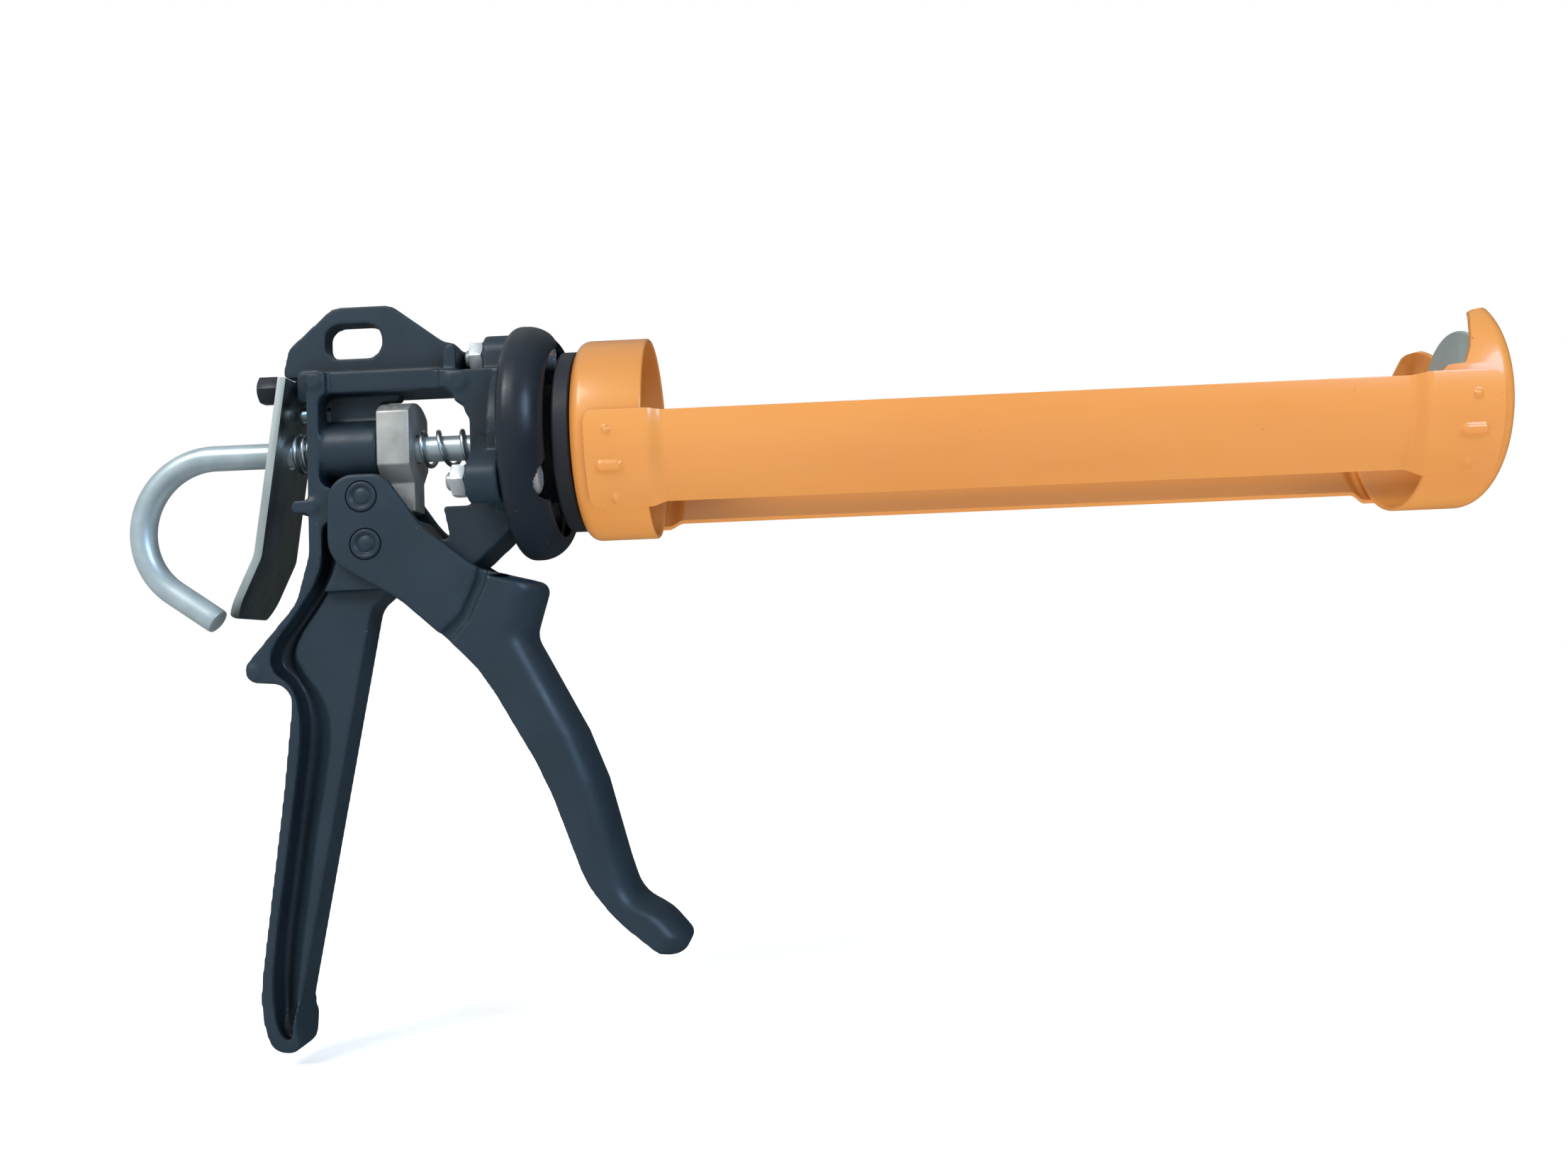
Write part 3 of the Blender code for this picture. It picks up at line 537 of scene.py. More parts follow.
def window_outline():
    """Opening of the casting in front of the rear rib, around the rod and the drive block."""
    return rounded([
        (WINDOW_REAR, BEAM_LOW, 3), (WINDOW_REAR, -9.6, 3), (-64.5, -12, 2), (-64.5, -19.6, 2),
        (-46, -19.6, 3), (-41, -25.6, 2), (-36, -26, 1.5), (-37.8, -17, 0.6),
        (FRONT_WALL_X, -17, 1), (FRONT_WALL_X, 6.4, 1.2), (-31.3, 8.4, 0.9), (-31.9, 10.6, 0.9),
        (-34.0, 11.4, 0.9), (-34.6, 13.6, 0.9), (-36.6, BEAM_LOW, 1.4),
    ])


def plate_outline():
    """Hanging plate, its foot inside the beam."""
    foot = BEAM_LOW + 2
    return rounded([
        (-83.2, BEAM_TOP, 1.2), (-81.4, 29, 5), (-68.8, PLATE_TOP, 4), (-52.6, PLATE_TOP, 4),
        (-38.2, 29.2, 6), (-34.6, 28.6, 1.5), (-34.6, foot, 0), (-76, foot, 0), (-76, BEAM_TOP, 0),
    ])


def groove_cutter(side):
    """Groove beside the handle's rear rib: steep at the rib, sloping up to the flat front part."""
    floor = smooth_loop([
        (-69.6, -24), (-70.4, -31), (-73.0, -37.6), (-76.0, -42), (-79.3, -46.8), (-83.0, -51.6),
        (-84.6, -56), (-83.4, -59.2), (-80.0, -62.6), (-77.6, -68), (-77.2, -78), (-80.8, -104),
        (-84.4, -129), (-85.4, -143), (-84.9, -149.6), (-84.2, -147), (-84.0, -140), (-82.8, -129),
        (-79.0, -104), (-75.2, -79), (-76.4, -69), (-80.4, -61.6), (-82.0, -56), (-79.6, -49.6),
        (-75.0, -43.4), (-71.0, -37.4), (-68.4, -30), (-67.8, -24)])
    rim = smooth_loop([
        (-70.4, -21), (-71.2, -31), (-73.5, -37), (-76.3, -41.3), (-79.6, -46), (-83.6, -51.1),
        (-85.5, -56), (-84.3, -60), (-80.6, -63.2), (-78.4, -68.6), (-77.9, -79), (-81.3, -104),
        (-85.0, -129), (-86.3, -144), (-85.0, -155), (-82.2, -156.6), (-80.4, -144), (-78.2, -129),
        (-74.4, -104), (-70.1, -79), (-71.8, -68), (-77.0, -60.4), (-79.7, -54.8), (-77.9, -49.4),
        (-73.2, -42.6), (-69.4, -36), (-67.2, -30), (-66.6, -21)])
    rings = [(GROOVE_HALF, floor), (HANDLE_HALF + 0.2, rim), (FRAME_HALF + 3, rim)]
    return loft("groove", [[(x, side * y, z) for x, z in ring] for y, ring in rings])


def face_cutter(side):
    """Takes the handle's front part down to its flat, starting in the groove, fading out below."""
    def outline(low):
        return [(-71.4, -38.8), (-74.6, -43.2), (-79.4, -49.4), (-81.0, -55.6), (-78.6, -61.6),
                (-74.4, -69), (-73.4, -79), (-77.6, -104), (-81.6, -130), (-83.4, -144),
                (-83.0, low + 1.6), (-81.0, low), (-70, low - 0.6), (-40, -60), (-40, -38.2)]

    rings = [(HANDLE_HALF, outline(-147)), (FRAME_HALF, outline(-153)),
             (FRAME_HALF + 3, outline(-153.4))]
    return loft("face", [[(x, side * y, z) for x, z in ring] for y, ring in rings])


def lug_outline(angle):
    """Tongue from the rod's axis out to a screw, round at its end."""
    across, up = polar(BOLT_CIRCLE_R, angle)
    points = arc(across, up, LUG_R, angle - 90, angle + 90, 20)
    root = Vector(polar(10.0, angle))
    side = Vector(polar(LUG_R + 1.5, angle + 90))
    points.append(tuple(root + side))
    points.append(tuple(root - side))
    return points


def narrow_foot(casting):
    """Rounds the end of the handle across its width."""
    start, end, share = -149.0, -161.4, 0.42    # share of the width lost at the very end
    for vertex in casting.data.vertices:
        z = (vertex.co.z - AXIS.z) / MM
        if z < start:
            vertex.co.y *= 1 - share * ((z - start) / (end - start)) ** 2


# ejector marks of the casting: (x, z, radius, how far it stands proud)
EJECTOR_MARKS = ((-90.3, -60, 1.9, 0.45), (-33.2, 17.0, 2.7, 0.45), (-72.4, 18.6, 2.1, 0.5))


def make_frame():
    rib_rear = WINDOW_REAR - 1
    web_top = BEAM_LOW + 1
    casting = prism_y("frame", frame_outline(), -FRAME_HALF, FRAME_HALF)
    cut(casting, prism_y("window", window_outline(), -THROUGH, THROUGH))
    beam_side = rectangle(WINDOW_REAR + 2, -38, BEAM_LOW - 5, BEAM_TOP + 5, 1.5)
    for side in SIDES:
        cut(casting, prism_y("beam_side", beam_side, side * BEAM_HALF, side * THROUGH))
        cut(casting, face_cutter(side), groove_cutter(side))
    plate = prism_y("plate", plate_outline(), -PLATE_HALF, PLATE_HALF)
    cut(plate, prism_y("slot", rectangle(-71, -55.4, 25.7, 35.1, 4), -THROUGH, THROUGH))
    boss = cylinder_x("boss", BOSS_R, REAR_X + 1, BLOCK_BACK - 0.3)
    web = prism_y("web", rectangle(rib_rear, -56.3, 6, web_top), -WEB_HALF, WEB_HALF)
    lobe = rectangle(FULCRUM[0] + 2, REAR_X + 2, 13.5, BEAM_TOP + 0.6, 1)
    lobe = prism_y("lobe", lobe, -LOBE_HALF, LOBE_HALF)
    flange = cylinder_x("flange", 21.0, FLANGE_X - 4.2, FLANGE_X, sides=96)
    web_front = rectangle(rib_rear, -51, 13.4, web_top, 0.5)
    web_front = prism_y("web_front", web_front, -WEB_HALF, WEB_HALF)
    bead = rectangle(-79, -71.6, -17.3, -13.7, 1.8)
    bead = prism_y("bead", bead, -FRAME_HALF - 0.6, FRAME_HALF + 0.6)
    shield = prism_y("shield", rectangle(-35.4, -26.6, BEAM_TOP - 3, 27.5, 1.5), 2.6, 5.6)
    post_x, post_z, post_half = -35.3, 25.6, FRAME_HALF - 1
    post = cylinder_y("post", 1.7, -post_half, post_half, post_x, post_z)
    post_foot = rectangle(post_x - 1.7, post_x + 1.7, BEAM_TOP - 3, post_z)
    join(post, prism_y("post_foot", post_foot, -post_half, post_half))
    join(casting, plate, boss, web, web_front, lobe, flange, bead, shield, post)
    for side in SIDES:
        for x, z, radius, proud in EJECTOR_MARKS:
            inside, outside = side * (FRAME_HALF - 1), side * (FRAME_HALF + proud)
            join(casting, cylinder_y("mark", radius, inside, outside, x, z))
    for angle in BOLT_ANGLES:
        join(casting, prism_x("lug", lug_outline(angle), LUG_X, FLANGE_X))
    soften(casting, 0.5, 7)
    narrow_foot(casting)
    cut(casting, cylinder_x("bore", BORE, REAR_X - 5, FLANGE_X + 5))
    for angle in BOLT_ANGLES:
        centre = polar(BOLT_CIRCLE_R, angle)
        cut(casting, cylinder_x("hole", BOLT_R + PLAY, LUG_X - 2, FLANGE_X + 2, *centre))
    cut(casting, cylinder_x("hole", 2.5, FULCRUM[0], REAR_X + 1, 0, SCREW_Z))
    cut(casting, cylinder_x("hole", 2.9, FULCRUM[0], WINDOW_REAR + 1, 0, FULCRUM[1]))
    cut(casting, cylinder_y("hole", PIN_R + PLAY, -THROUGH, THROUGH, *PIVOT))
    dress(casting, "frame", "black_coat", BLACK, "frame_casting")


# --- swivel ---
def make_housing():
    """Bell-shaped ring with three screw pockets."""
    outer = BOLT_CIRCLE_R + 7.3
    inner = BOLT_CIRCLE_R - 4.7
    web_in = 16.6
    web_rear = HUB_REAR + 3.7
    web_front = web_rear + 2.8
    pocket_r = 5.6
    profile = [(BELL_REAR, inner), (BELL_REAR, outer - 2.4)]
    profile += arc(BELL_REAR + 3.2, outer - 3.2, 3.2, 165, 90, 10)
    profile += arc(BELL_REAR + 4.2, outer - 8.4, 8.4, 85, 24, 20)
    profile += arc(BELL_FRONT - 1.5, outer - 5.6, 0.8, 5, -120, 6)
    profile += [(web_front + 1.6, outer - 3.9), (web_front + 0.6, outer - 4.2),
                (web_front, outer - 5.0), (web_front, web_in + 0.2), (web_front - 0.2, web_in),
                (web_rear, web_in), (web_rear, inner)]
    bell = turned("housing", profile)
    for angle in BOLT_ANGLES:
        centre = polar(BOLT_CIRCLE_R, angle)
        cut(bell, cylinder_x("pocket", pocket_r, web_front - 0.3, BELL_FRONT + 5, *centre, 64))
    soften(bell, 0.45, 4)
    for angle in BOLT_ANGLES:
        centre = polar(BOLT_CIRCLE_R, angle)
        cut(bell, cylinder_x("hole", BOLT_R + PLAY, BELL_REAR - 2, web_front + 3, *centre))
    dress(bell, "frame", "black_coat", HOUSING, "swivel_housing")


def cut_rivet_holes(piece, rear):
    """Holes for the rivets, from a place forwards."""
    for angle in BOLT_ANGLES:
        centre = polar(RIVET_CIRCLE_R, angle + RIVET_TURN)
        cut(piece, cylinder_x("hole", RIVET_HOLE_R, rear, 5, *centre))


def make_collar():
    """Collar that turns in the housing, its rim rounded."""
    rear = COLLAR_FRONT - 5.2
    hub_front = HUB_REAR + 3.4
    hub, neck, rim, recess, bore = 19.5, 16.2, 24.5, 8, BORE + 0.2
    profile = [(HUB_REAR, bore), (HUB_REAR, hub), (hub_front, hub), (hub_front, neck),
               (rear, neck), (rear, rim - 2.4), (rear + 0.5, rim - 1.2)]
    profile += arc(rear + 1.6, rim - 1.0, 1.0, 150, 90, 4)
    profile += [(COLLAR_FRONT - 0.4, rim), (COLLAR_FRONT, rim - 0.4), (COLLAR_FRONT, recess),
                (hub_front, recess), (hub_front, bore)]
    collar = turned("collar", profile)
    cut_rivet_holes(collar, rear - 2)
    dress(collar, "carriage", "collar_black", COLLAR, "swivel_collar")


# --- fasteners ---
def hex_body(name, across_flats, low, high, cy, cz):
    """Hexagon along X whose corners are chamfered at both ends."""
    corner = across_flats / 2 / math.cos(math.pi / 6)
    end, chamfer = 0.47 * across_flats, 0.35
    body = prism_x(name, arc(cy, cz, corner, 0, 300, 5), low, high)
    profile = [(low - 0.05, end), (low + chamfer, corner + 0.1),
               (high - chamfer, corner + 0.1), (high + 0.05, end)]
    combine(body, turned_solid("chamfer", profile, 48, cy, cz), "INTERSECT")
    return edge(body, 0.12, 2)


def screw_profile(tip, seat, end):
    """Threaded shank from its tip to its head's seat, and a round head."""
    head_r, rim, dome = 4.4, 1.5, 1.75
    pitch, depth = 0.8, 0.25
    profile = [(tip, 0.3), (tip, BOLT_R - 0.6), (tip + 0.5, BOLT_R)]
    x = tip + 0.9
    while x < LUG_X - 0.3:
        profile += [(x, BOLT_R - depth), (x + pitch / 2, BOLT_R)]
        x += pitch
    profile += [(seat - 0.01, BOLT_R), (seat, head_r - 0.2),
                (seat + 0.2, head_r), (seat + rim, head_r)]
    profile += [(seat + rim + dome * math.sin(a), head_r * math.cos(a) ** 0.6)
                for a in (0.3, 0.6, 0.9, 1.15, 1.35)]
    profile.append((end - 0.01, 0.3))
    return profile


def make_screws():
    """Screws of the housing, each with a crossed slot, and their nuts."""
    for name, angle in zip(BOLT_NAMES, BOLT_ANGLES):
        across, up = polar(BOLT_CIRCLE_R, angle)
        tip, end = span("housing_screw_" + name)[:2]
        profile = screw_profile(tip, end - 3.4, end)
        screw = turned_solid("screw_" + name, profile, 40, across, up)
        for turn in (40, 130):
            c, s = polar(1.0, turn)
            slot = [(across + y * c - z * s, up + y * s + z * c)
                    for y, z in rectangle(-2.6, 2.6, -0.55, 0.55)]
            cut(screw, prism_x("slot", slot, end - 1.6, end + 3))
        dress(screw, "frame", "zinc_plate", SCREW_ZINC, "housing_screw_" + name, sharp=30)
        rear, front = span("housing_nut_" + name)[:2]
        nut = hex_body("nut_" + name, 8.0, rear, front, across, up)
        cut(nut, cylinder_x("thread", BOLT_R + 0.15, rear - 2, front + 2, across, up))
        dress(nut, "frame", "zinc_plate", SCREW_ZINC, "housing_nut_" + name, sharp=30)


def make_pin(name, place, body, node):
    """Pin through the cheeks: a ring of metal round a dished centre with a low dome."""
    # (height over the cheek, radius)
    head = ((-1.0, 4.05), (-0.35, 4.05), (-0.1, 3.85), (0, 3.5), (-0.05, 3.1),
            (-0.45, 2.75), (-0.65, 2.3), (-0.45, 1.9), (-0.25, 1.2), (-0.2, 0.2))
    face = span(node)[3]
    pin = cylinder_y(name, PIN_R, -face + 1.5, face - 1.5, *place)
    for side in SIDES:
        rings = [[(x, side * (face + height), z) for x, z in arc(*place, radius, 0, 350, 35)]
                 for height, radius in head]
        join(pin, loft("head", rings))
    dress(pin, body, "black_coat", BLACK, node, sharp=50)


def make_lever_screw():
    rear, tip = span("lever_screw")[:2]
    seat = rear + 6.0
    screw = hex_body("lever_bolt", 7.0, rear, seat, 0, SCREW_Z)
    join(screw, cylinder_x("shank", 2.2, seat - 1, tip, 0, SCREW_Z))
    dress(screw, "frame", "black_coat", HOUSING, "lever_screw", sharp=30)


def make_stop_pin():
    """Pin with a domed rear end."""
    rear, front = span("lever_stop_pin")[:2]
    radius, flatness = 2.6, 0.7
    profile = []
    for degrees in range(88, -1, -11):
        r, along = polar(radius, degrees)
        profile.append((rear + (radius - along) * flatness, max(0.1, r)))
    profile.append((front, radius))
    pin = turned_solid("stop_pin", profile, 40, 0, FULCRUM[1])
    dress(pin, "frame", "zinc_plate", ZINC, "lever_stop_pin", sharp=50)


def make_rivets():
    shank, head_r, dome = 2.0, 3.6, 1.15
    for number, angle in enumerate(BOLT_ANGLES, 1):
        node = "collar_rivet_%d" % number
        rear, front = span(node)[:2]
        head = front - 1.4
        profile = [(rear, 0.1), (rear, shank), (head, shank), (head, head_r - 0.1)]
        for degrees in (0, 20, 40, 60, 75, 85):
            c, s = polar(1.0, degrees)
            profile.append((head + 0.2 + dome * s, head_r * c ** 0.7))
        profile.append((front - 0.02, 0.1))
        centre = polar(RIVET_CIRCLE_R, angle + RIVET_TURN)
        rivet = turned_solid("rivet_%d" % number, profile, 36, *centre)
        dress(rivet, "carriage", "zinc_plate", ZINC, node)


# --- release lever, springs, block ---
def lever_front(z):
    """Place of the lever's front face at a height."""
    return FULCRUM[0] - (FULCRUM[1] - z) * math.tan(math.radians(LEVER_TILT))


def make_lever():
    """Pressed plate with a bent thumb pad and a notch for its screw."""
    y0, y1, _, top = span("release_lever")[2:]
    tilt, pad = math.radians(LEVER_TILT), math.radians(25.5)
    knee_z, pad_l, notch_half = -29.0, 18.0, 2.7
    knee = Vector((lever_front(knee_z), knee_z))
    foot = knee + Vector((-math.sin(pad), -math.cos(pad))) * pad_l
    back = Vector((-math.cos(tilt), math.sin(tilt))) * LEVER_T
    pad_back = Vector((-math.cos(pad), math.sin(pad))) * LEVER_T
    knee_back = Vector((-math.cos((tilt + pad) / 2), math.sin((tilt + pad) / 2)))
    knee_back *= LEVER_T / math.cos((pad - tilt) / 2)
    crown = Vector((lever_front(top - 0.3), top - 0.3))
    corners = [(crown, 0.3), (knee, 7), (foot, 0.8), (foot + pad_back, 0.8), (knee + knee_back, 9),
               (crown + back, 0.3)]
    lever = prism_y("lever", rounded([(p.x, p.y, r) for p, r in corners], 5), y0, y1)
    low, high = foot.y - 2, top + 3
    front = rounded([(y0, high, 0), (y0, low, 8.5), (y1, low, 8.5), (y1, high, 0)])
    combine(lever, prism_x("front", front, -140, -40), "INTERSECT")
    cut(lever, cylinder_x("rod_hole", ROD_R + 0.5, -100, -70))
    notch = rounded([(-notch_half, 15.2, 2.6), (notch_half, 15.2, 2.6),
                     (notch_half, top + 5, 0), (-notch_half, top + 5, 0)])
    cut(lever, prism_x("notch", notch, -100, -70))
    edge(lever, 0.35, 3)
    dress(lever, "release", "zinc_plate", PLATE_ZINC, "release_lever", sharp=50)


def helix(coil_r, low, high, turns):
    """Coil about the rod, with its ends closed up."""
    closed = 0.6
    points = []
    steps = round(48 * turns)
    for i in range(steps + 1):
        part = i / steps
        lead = part - closed * math.sin(2 * math.pi * part) / (2 * math.pi)
        points.append((low + (high - low) * lead, *polar(coil_r, 360 * turns * part)))
    return points


def make_spring(name, node, coil_r, turns):
    """Spring on the rod, wound between the ends of its CAD node."""
    rear, front = span(node)[:2]
    spring = swept(name, helix(coil_r, rear + WIRE_R, front - WIRE_R, turns), WIRE_R, 14)
    dress(spring, "frame", "zinc_plate", ZINC, node, sharp=0)
    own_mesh(spring)


def make_block():
    """Round-topped block with side flats, which narrow to a tail."""
    radius, flat, tail = 12.8, 8.6, 4.2
    flat_low, tail_top, low = -5, -9.5, span("drive_block")[4]
    top = math.degrees(math.acos(flat / radius))
    outline = arc(0, 0, radius, top, 180 - top, 24)
    outline += [(-flat, flat_low), (-tail, tail_top), (-tail, low),
                (tail, low), (tail, tail_top), (flat, flat_low)]
    block = prism_x("block", outline, BLOCK_BACK, BLOCK_FRONT)
    cut(block, cylinder_x("bore", BORE, BLOCK_BACK - 3, BLOCK_FRONT + 3))
    edge(block, 0.4, 3, 30)
    dress(block, "drive", "bare_steel", SINTERED, "drive_block", sharp=50)


# --- trigger ---
def trigger_outline():
    """Side view: two cheeks behind, a curved grip with a hooked tip below."""
    return rounded([
        (-68.2, -7.6, 9), (-53.2, -7.6, 6), (-43.6, -21.6, 20), (-28.4, -34, 14), (-11.4, -38.4, 3),
        (-15.8, -52.6, 6), (1.2, -85, 60), (8.4, -113, 30), (11.4, -122.6, 14), (19.6, -127.2, 14),
        (25.2, -134.0, 2.6), (22.8, -138, 2.8), (16.8, -137.2, 6), (6.2, -128.4, 20),
        (-1.6, -118.6, 25), (-11.6, -90.4, 60), (-28.2, -61, 60), (-39.4, -50.6, 8),
        (-49.6, -41.4, 20), (-68.4, -30.4, 10),
    ])


def front_of(outline, z):
    """Greatest x of an outline at a height."""
    crossings = []
    for a, b in zip(outline, outline[1:] + outline[:1]):
        if a[1] != b[1] and (a[1] - z) * (b[1] - z) <= 0:
            crossings.append(a[0] + (b[0] - a[0]) * (z - a[1]) / (b[1] - a[1]))
    return max(crossings)


def round_nose(piece, outline, top, radius):
    """Rounds the front of the grip across its width, below a height, by narrowing it forwards."""
    heights = [z for _, z in outline]
    low, high = min(heights) + 0.2, max(heights) - 0.2
    for vertex in piece.data.vertices:
        place = (vertex.co - AXIS) / MM
        if place.z > top:
            continue
        nose = front_of(outline, min(max(place.z, low), high))
        depth = min(max(nose - place.x, 0.0), radius)
        half = TRIGGER_HALF - radius + math.sqrt(radius ** 2 - (radius - depth) ** 2)
        vertex.co.y *= half / TRIGGER_HALF


def make_trigger():
    """Cheeks either side of the casting, and a grip set in from them behind a shallow valley."""
    lever = prism_y("grip", trigger_outline(), -TRIGGER_HALF, TRIGGER_HALF)
    fork = [(-80, 0), (-20, 0), (-20, -33), (-23, -37), (-36, -54), (-46, -62), (-80, -62)]
    inside = FRAME_HALF + 0.4
    cut(lever, prism_y("fork", fork, -inside, inside))
    valley = rounded([(-27.6, -30, 2), (-28.6, -37, 5), (-33, -46.2, 5), (-41.5, -54, 0),
                      (-38, -56, 0), (-30.6, -47.8, 5), (-26, -38, 5), (-24.6, -30, 2)])
    grip = [(-24, -28), (-27, -38), (-31, -47), (-41, -55), (-50, -60),
            (-50, -150), (40, -150), (40, -28)]
    grip_half = seat_half = TRIGGER_HALF - 0.8
    valley_half = TRIGGER_HALF - 1.6
    for side in SIDES:
        cut(lever, prism_y("side", grip, side * grip_half, side * 30))
        cut(lever, prism_y("valley", valley, side * valley_half, side * 30))
    soften(lever, 0.5, 8)
    round_nose(lever, trigger_outline(), -36.0, 8.0)
    for place in (PIVOT, DRIVE_PIN):
        cut(lever, cylinder_y("hole", PIN_R + PLAY, -THROUGH, THROUGH, *place))
        for side in SIDES:
            cut(lever, cylinder_y("seat", 4.35, side * seat_half, side * THROUGH, *place))
    dress(lever, "trigger", "black_coat", BLACK, "trigger")


# --- carriage ---
def cup_profile(closed, opened, radius, corner, hole):
    """Profile of a pressed cup from its closed end to its open end, with a hole in its plate."""
    way = 1 if opened > closed else -1
    centre = (closed + way * corner, radius - corner)
    outer = [(centre[0] - way * x, centre[1] + y) for x, y in arc(0, 0, corner, 0, 90, 12)]
    inner = [(centre[0] - way * x, centre[1] + y) for x, y in arc(0, 0, corner - SHEET, 90, 0, 12)]
    half = SHEET / 2
    lip = [(opened + way * (x - half), radius - half + y) for x, y in arc(0, 0, half, 90, -90, 6)]
    return [(closed, hole)] + outer + lip + inner + [(closed + way * SHEET, hole)]


def make_ring():
    ring = turned("ring", cup_profile(0, RING_L, RING_R, 3.5, 9.0))
    cut_rivet_holes(ring, -3)
    dress(ring, "carriage", "orange_enamel", ORANGE, "rear_ring")


def make_cup():
    """Front cup with a nozzle slot that flares to its top, and an open mouth between two horns."""
    cup = turned("cup", cup_profile(CARRIAGE_L, CUP_REAR, CUP_R, 4.6, 11.0))
    rear, front, over = CUP_REAR - 5, CARRIAGE_L, 40.0
    half, flare_z = 10.9, 13.0
    wide = half + over - flare_z
    slot = [(-half, 0), (half, 0), (half, flare_z), (wide, over), (-wide, over), (-half, flare_z)]
    cut(cup, prism_x("slot", slot, rear, front + 5))
    side = 1.1
    mouth = rounded([
        (rear, side, 0), (front - 19.6, side, 1.5), (front - 17.2, side + 2.1, 1.5),
        (front - 12.9, side + 2.5, 1), (front - 10.8, side + 7, 8), (front - 9, 14.4, 12),
        (front - 7.1, HORN_TOP - 1.1, 1.5), (front - 2, HORN_TOP, 2), (front + 5, HORN_TOP, 0),
        (front + 5, over, 0), (rear, over, 0),
    ])
    cut(cup, prism_y("mouth", mouth, -60, 60))
    edge(cup, 0.25, 2, 50)
    dress(cup, "carriage", "orange_enamel", ORANGE, "front_cup")


def smoothstep(t):
    t = min(1.0, max(0.0, t))
    return t * t * (3 - 2 * t)


# clinched joints of each rail: (x, z, half length along the rail, height)
CLINCHES = ((10.1, -3.8, 0.0, 0.75), (10.4, -12.2, 2.1, 0.95), (11.3, -19.4, 0.0, 0.75),
            (226.8, -4.6, 0.0, 0.75), (226.5, -12.6, 2.1, 0.95), (226.3, -19.8, 0.0, 0.5))
RAIL_TOP, RAIL_LOW = 2.6, -50.7         # degrees up from the side of the gun
RAIL_STEP = 4.5                         # length of the joggles beside the ring and the cup
REAR_STEP, FRONT_STEP = RING_L + 1, CUP_REAR - 1
RAIL_IN = 25.6                          # inside of the sheet between the joggles
RAIL_OVER_RING, RAIL_OVER_CUP = RING_R + 0.3, CUP_R + 0.3
RAIL_CORNER = 2.8


def clinch_height(x, z, spot):
    """Height of a pressed button, or of a slot if it is long, around its place on the rail."""
    cx, cz, half, height = spot
    away = math.hypot(max(0.0, abs(x - cx) - half), z - cz)
    radius = 1.5 if half else 1.25
    return height * (1 - smoothstep((away - radius * 0.35) / (radius * 0.75)))


def rail_stations():
    """Places along a rail, close together at its joints and joggles."""
    stations = []
    x = RAIL_START
    while x < RAIL_END - 0.01:
        stations.append(x)
        at_joint = x < REAR_STEP + RAIL_STEP + 1 or x > FRONT_STEP - RAIL_STEP - 2
        x += 0.35 if at_joint else 6.0
    return stations + [RAIL_END]


def rail_radius(x):
    """Inside radius of the sheet, stepped out over the ring and the cup."""
    rear = 1 - smoothstep((x - REAR_STEP) / RAIL_STEP)
    front = smoothstep((x - FRONT_STEP + RAIL_STEP) / RAIL_STEP)
    return RAIL_IN + (RAIL_OVER_RING - RAIL_IN) * rear + (RAIL_OVER_CUP - RAIL_IN) * front


def rail_trim(x):
    """How far the long edges draw in at a place, which rounds the strip's corners."""
    end = min(x - RAIL_START, RAIL_END - x)
    if end >= RAIL_CORNER:
        return 0.0
    return RAIL_CORNER - math.sqrt(max(0.0, RAIL_CORNER ** 2 - (RAIL_CORNER - end) ** 2))


def make_rail(name, side, node):
    """Side rail: sheet curved to the cartridge, stepped out over the ring and the cup."""
    across = 72
    stations = rail_stations()
    bm = bmesh.new()
    sheets = []
    for layer, lift_share in ((0.0, 0.6), (SHEET, 1)):
        rows = []
        for x in stations:
            radius = rail_radius(x)
            reach = math.degrees(rail_trim(x) / radius)
            row = []
            for k in range(across + 1):
                turn = RAIL_LOW + reach + (1 - k / across) * (RAIL_TOP - RAIL_LOW - 2 * reach)
                height = polar(radius, turn)[1]
                lift = sum(clinch_height(x, height, spot) for spot in CLINCHES)
                y, z = polar(radius + layer + lift * lift_share, turn)
                row.append(bm.verts.new((x, side * y, z)))
            rows.append(row)
        sheets.append(rows)
    inner, outer = sheets
    last = len(stations) - 1
    for rows in sheets:
        for i in range(last):
            for k in range(across):
                bm.faces.new((rows[i][k], rows[i][k + 1], rows[i + 1][k + 1], rows[i + 1][k]))
    for i in range(last):
        for k in (0, across):
            bm.faces.new((inner[i][k], inner[i + 1][k], outer[i + 1][k], outer[i][k]))
    for k in range(across):
        for i in (0, last):
            bm.faces.new((inner[i][k], inner[i][k + 1], outer[i][k + 1], outer[i][k]))
    rail = new_object(name, bm)
    edge(rail, 0.3, 3, 50)
    dress(rail, "carriage", "orange_enamel", ORANGE, node)


# --- rod ---
def make_rod():
    """Push rod with its J-shaped hook and a turned-down front end."""
    bend, tip_bend, tip_turn, tip = 20.5, 20.0, 55.0, 15.0
    straight = -103.5       # where the hook's bend starts
    shoulder = span("piston_disc")[0] - 0.3
    path = [(shoulder + (straight - shoulder) * i / 40, 0, 0) for i in range(40)]
    path += [(x, 0, z) for x, z in arc(straight, -bend, bend, 90, 180, 30)]
    hook = arc(straight - bend + tip_bend, -bend, tip_bend, 180, 180 + tip_turn, 18)
    path += [(x, 0, z) for x, z in hook[1:]]
    x, _, z = path[-1]
    up, along = polar(tip, tip_turn)
    path += [(x + along * i / 5, 0, z - up * i / 5) for i in range(1, 6)]
    rod = swept("rod", path, ROD_R, 40)
    join(rod, cylinder_x("stub", 2.5, shoulder - 2, ROD_END))
    dress(rod, "rod", "zinc_plate", ROD_ZINC, "push_rod")


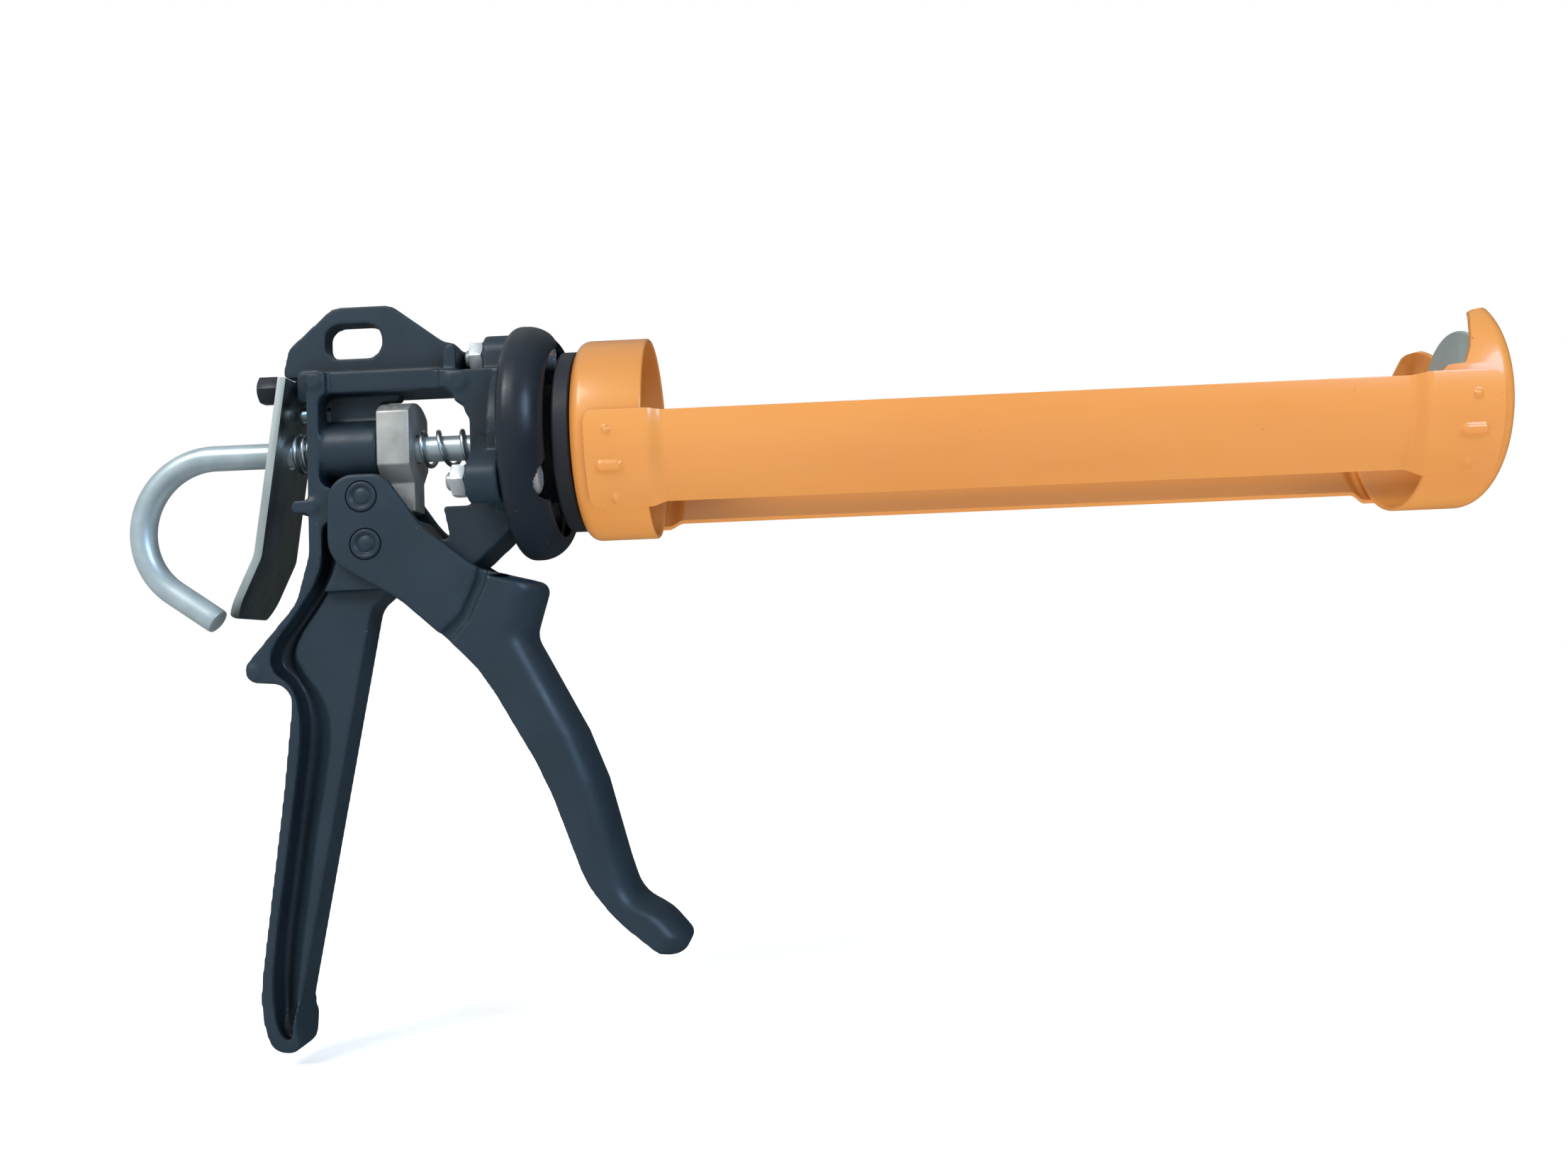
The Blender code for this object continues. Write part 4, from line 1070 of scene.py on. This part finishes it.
def make_piston():
    """Disc with a faint pressed step round its middle, and the nut that holds it."""
    hole, radius, step = 2.8, 19.3, 8.5
    back, front = span("piston_disc")[:2]
    profile = [
        (back, hole), (back, step - 0.6), (back + 0.25, step), (back + 0.25, radius - 0.35),
        (back + 0.45, radius - 0.08), (back + 0.7, radius), (front - 0.4, radius),
        (front - 0.1, radius - 0.15), (front, radius - 0.5), (front, hole),
    ]
    disc = turned("piston", profile)
    dress(disc, "rod", "dull_zinc", DULL_ZINC, "piston_disc", sharp=30)
    rear, front = span("piston_nut")[:2]
    nut = hex_body("rod_nut", 8.0, rear, front, 0, 0)
    cut(nut, cylinder_x("thread", hole, rear - 2, front + 2))
    dress(nut, "rod", "dull_zinc", ZINC, "piston_nut", sharp=30)


# --- stage ---
def make_floor():
    """Pale floor just under the gun, lit a little from within to match the white backdrop."""
    half = 8.0
    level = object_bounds()[0].z - 0.004
    corners = ((-half, -half), (half, -half), (half, half), (-half, half))
    mesh = bpy.data.meshes.new("floor")
    mesh.from_pydata([(x, y, level) for x, y in corners], [], [(0, 1, 2, 3)])
    floor = bpy.data.objects.new("floor", mesh)
    bpy.context.scene.collection.objects.link(floor)
    material = bpy.data.materials.new("floor_white")
    material.use_nodes = True
    shader = material.node_tree.nodes["Principled BSDF"]
    shader.inputs["Base Color"].default_value = (0.92, 0.92, 0.92, 1.0)
    shader.inputs["Roughness"].default_value = 0.9
    shader.inputs["Emission Color"].default_value = (1.0, 1.0, 1.0, 1.0)
    shader.inputs["Emission Strength"].default_value = 0.52
    mesh.materials.append(material)
    floor.visible_glossy = False


def make_world():
    """White backdrop, whose light is bright from the upper left and dark from the right."""
    world = bpy.data.worlds.new("studio")
    world.use_nodes = True
    nodes, links = world.node_tree.nodes, world.node_tree.links
    background = nodes["Background"]
    brightest = Vector((-0.62, -0.42, 0.66)).normalized()
    place = nodes.new("ShaderNodeTexCoord")
    toward = nodes.new("ShaderNodeVectorMath")
    toward.operation = "DOT_PRODUCT"
    toward.inputs[1].default_value = brightest
    links.new(place.outputs["Generated"], toward.inputs[0])
    level = nodes.new("ShaderNodeMapRange")
    level.interpolation_type = "SMOOTHSTEP"
    span_in_out = (("From Min", -0.55), ("From Max", 0.9), ("To Min", 0.04), ("To Max", 0.62))
    for name, value in span_in_out:
        level.inputs[name].default_value = value
    links.new(toward.outputs["Value"], level.inputs["Value"])
    path = nodes.new("ShaderNodeLightPath")
    seen = nodes.new("ShaderNodeMath")
    seen.operation = "MAXIMUM"
    links.new(path.outputs["Is Camera Ray"], seen.inputs[0])
    links.new(level.outputs["Result"], seen.inputs[1])
    links.new(seen.outputs["Value"], background.inputs["Strength"])
    tint = nodes.new("ShaderNodeMix")
    tint.data_type = "RGBA"
    tint.inputs[6].default_value = (0.86, 0.95, 1.0, 1.0)
    tint.inputs[7].default_value = (1.0, 1.0, 1.0, 1.0)
    links.new(path.outputs["Is Camera Ray"], tint.inputs["Factor"])
    links.new(tint.outputs[2], background.inputs["Color"])
    bpy.context.scene.world = world
    bpy.context.scene.view_settings.view_transform = "Standard"


def make_camera():
    """The photograph's own viewpoint."""
    data = bpy.data.cameras.new("camera")
    data.lens = 30.29
    data.sensor_width = 36.0
    data.clip_start = 0.01
    camera = bpy.data.objects.new("camera", data)
    camera.location = AXIS + Vector((64.67, -357.69, -61.62)) * MM
    right = Vector((0.99863, 0.03545, -0.03843))
    up = Vector((0.04028, -0.05281, 0.99779))
    back = Vector((0.0333, -0.9980, -0.0542))
    camera.rotation_euler = Matrix((right, up, back)).transposed().to_euler()
    bpy.context.scene.collection.objects.link(camera)
    bpy.context.scene.camera = camera


def make_sun(name, toward, strength, angle):
    """Distant soft light that comes from a direction."""
    data = bpy.data.lights.new(name, "SUN")
    data.energy = strength
    data.angle = math.radians(angle)
    light = bpy.data.objects.new(name, data)
    light.rotation_euler = Vector(toward).to_track_quat("Z", "Y").to_euler()
    bpy.context.scene.collection.objects.link(light)


def make_area(name, place, target, size, power, colour):
    """Round panel that shines at a target."""
    data = bpy.data.lights.new(name, "AREA")
    data.shape = "DISK"
    data.size = size
    data.energy = power
    data.color = colour
    light = bpy.data.objects.new(name, data)
    light.location = place
    light.rotation_euler = (place - target).to_track_quat("Z", "Y").to_euler()
    bpy.context.scene.collection.objects.link(light)


def make_stage():
    make_floor()
    make_world()
    make_sun("key", toward=(-0.42, -0.62, 0.72), strength=1.35, angle=24)
    middle = AXIS + Vector((0, 0, -40)) * MM
    make_area("cool", middle + Vector((0.75, -0.75, 0.55)), middle,
              size=0.4, power=6.0, colour=(0.5, 0.7, 1.0))
    make_camera()


make_frame()
make_housing()
make_collar()
make_screws()
make_pin("pivot_pin", PIVOT, "frame", "trigger_pivot_pin")
make_pin("push_pin", DRIVE_PIN, "trigger", "drive_pin")
make_lever_screw()
make_stop_pin()
make_rivets()
make_lever()
make_spring("drive_spring", "return_spring", COIL_R, 3.25)
make_spring("lever_spring", "release_spring", LEVER_COIL_R, 2.5)
make_block()
make_trigger()
make_ring()
make_cup()
make_rail("rail_right", -1, "side_rail_right")
make_rail("rail_left", 1, "side_rail_left")
make_rod()
make_piston()
make_stage()
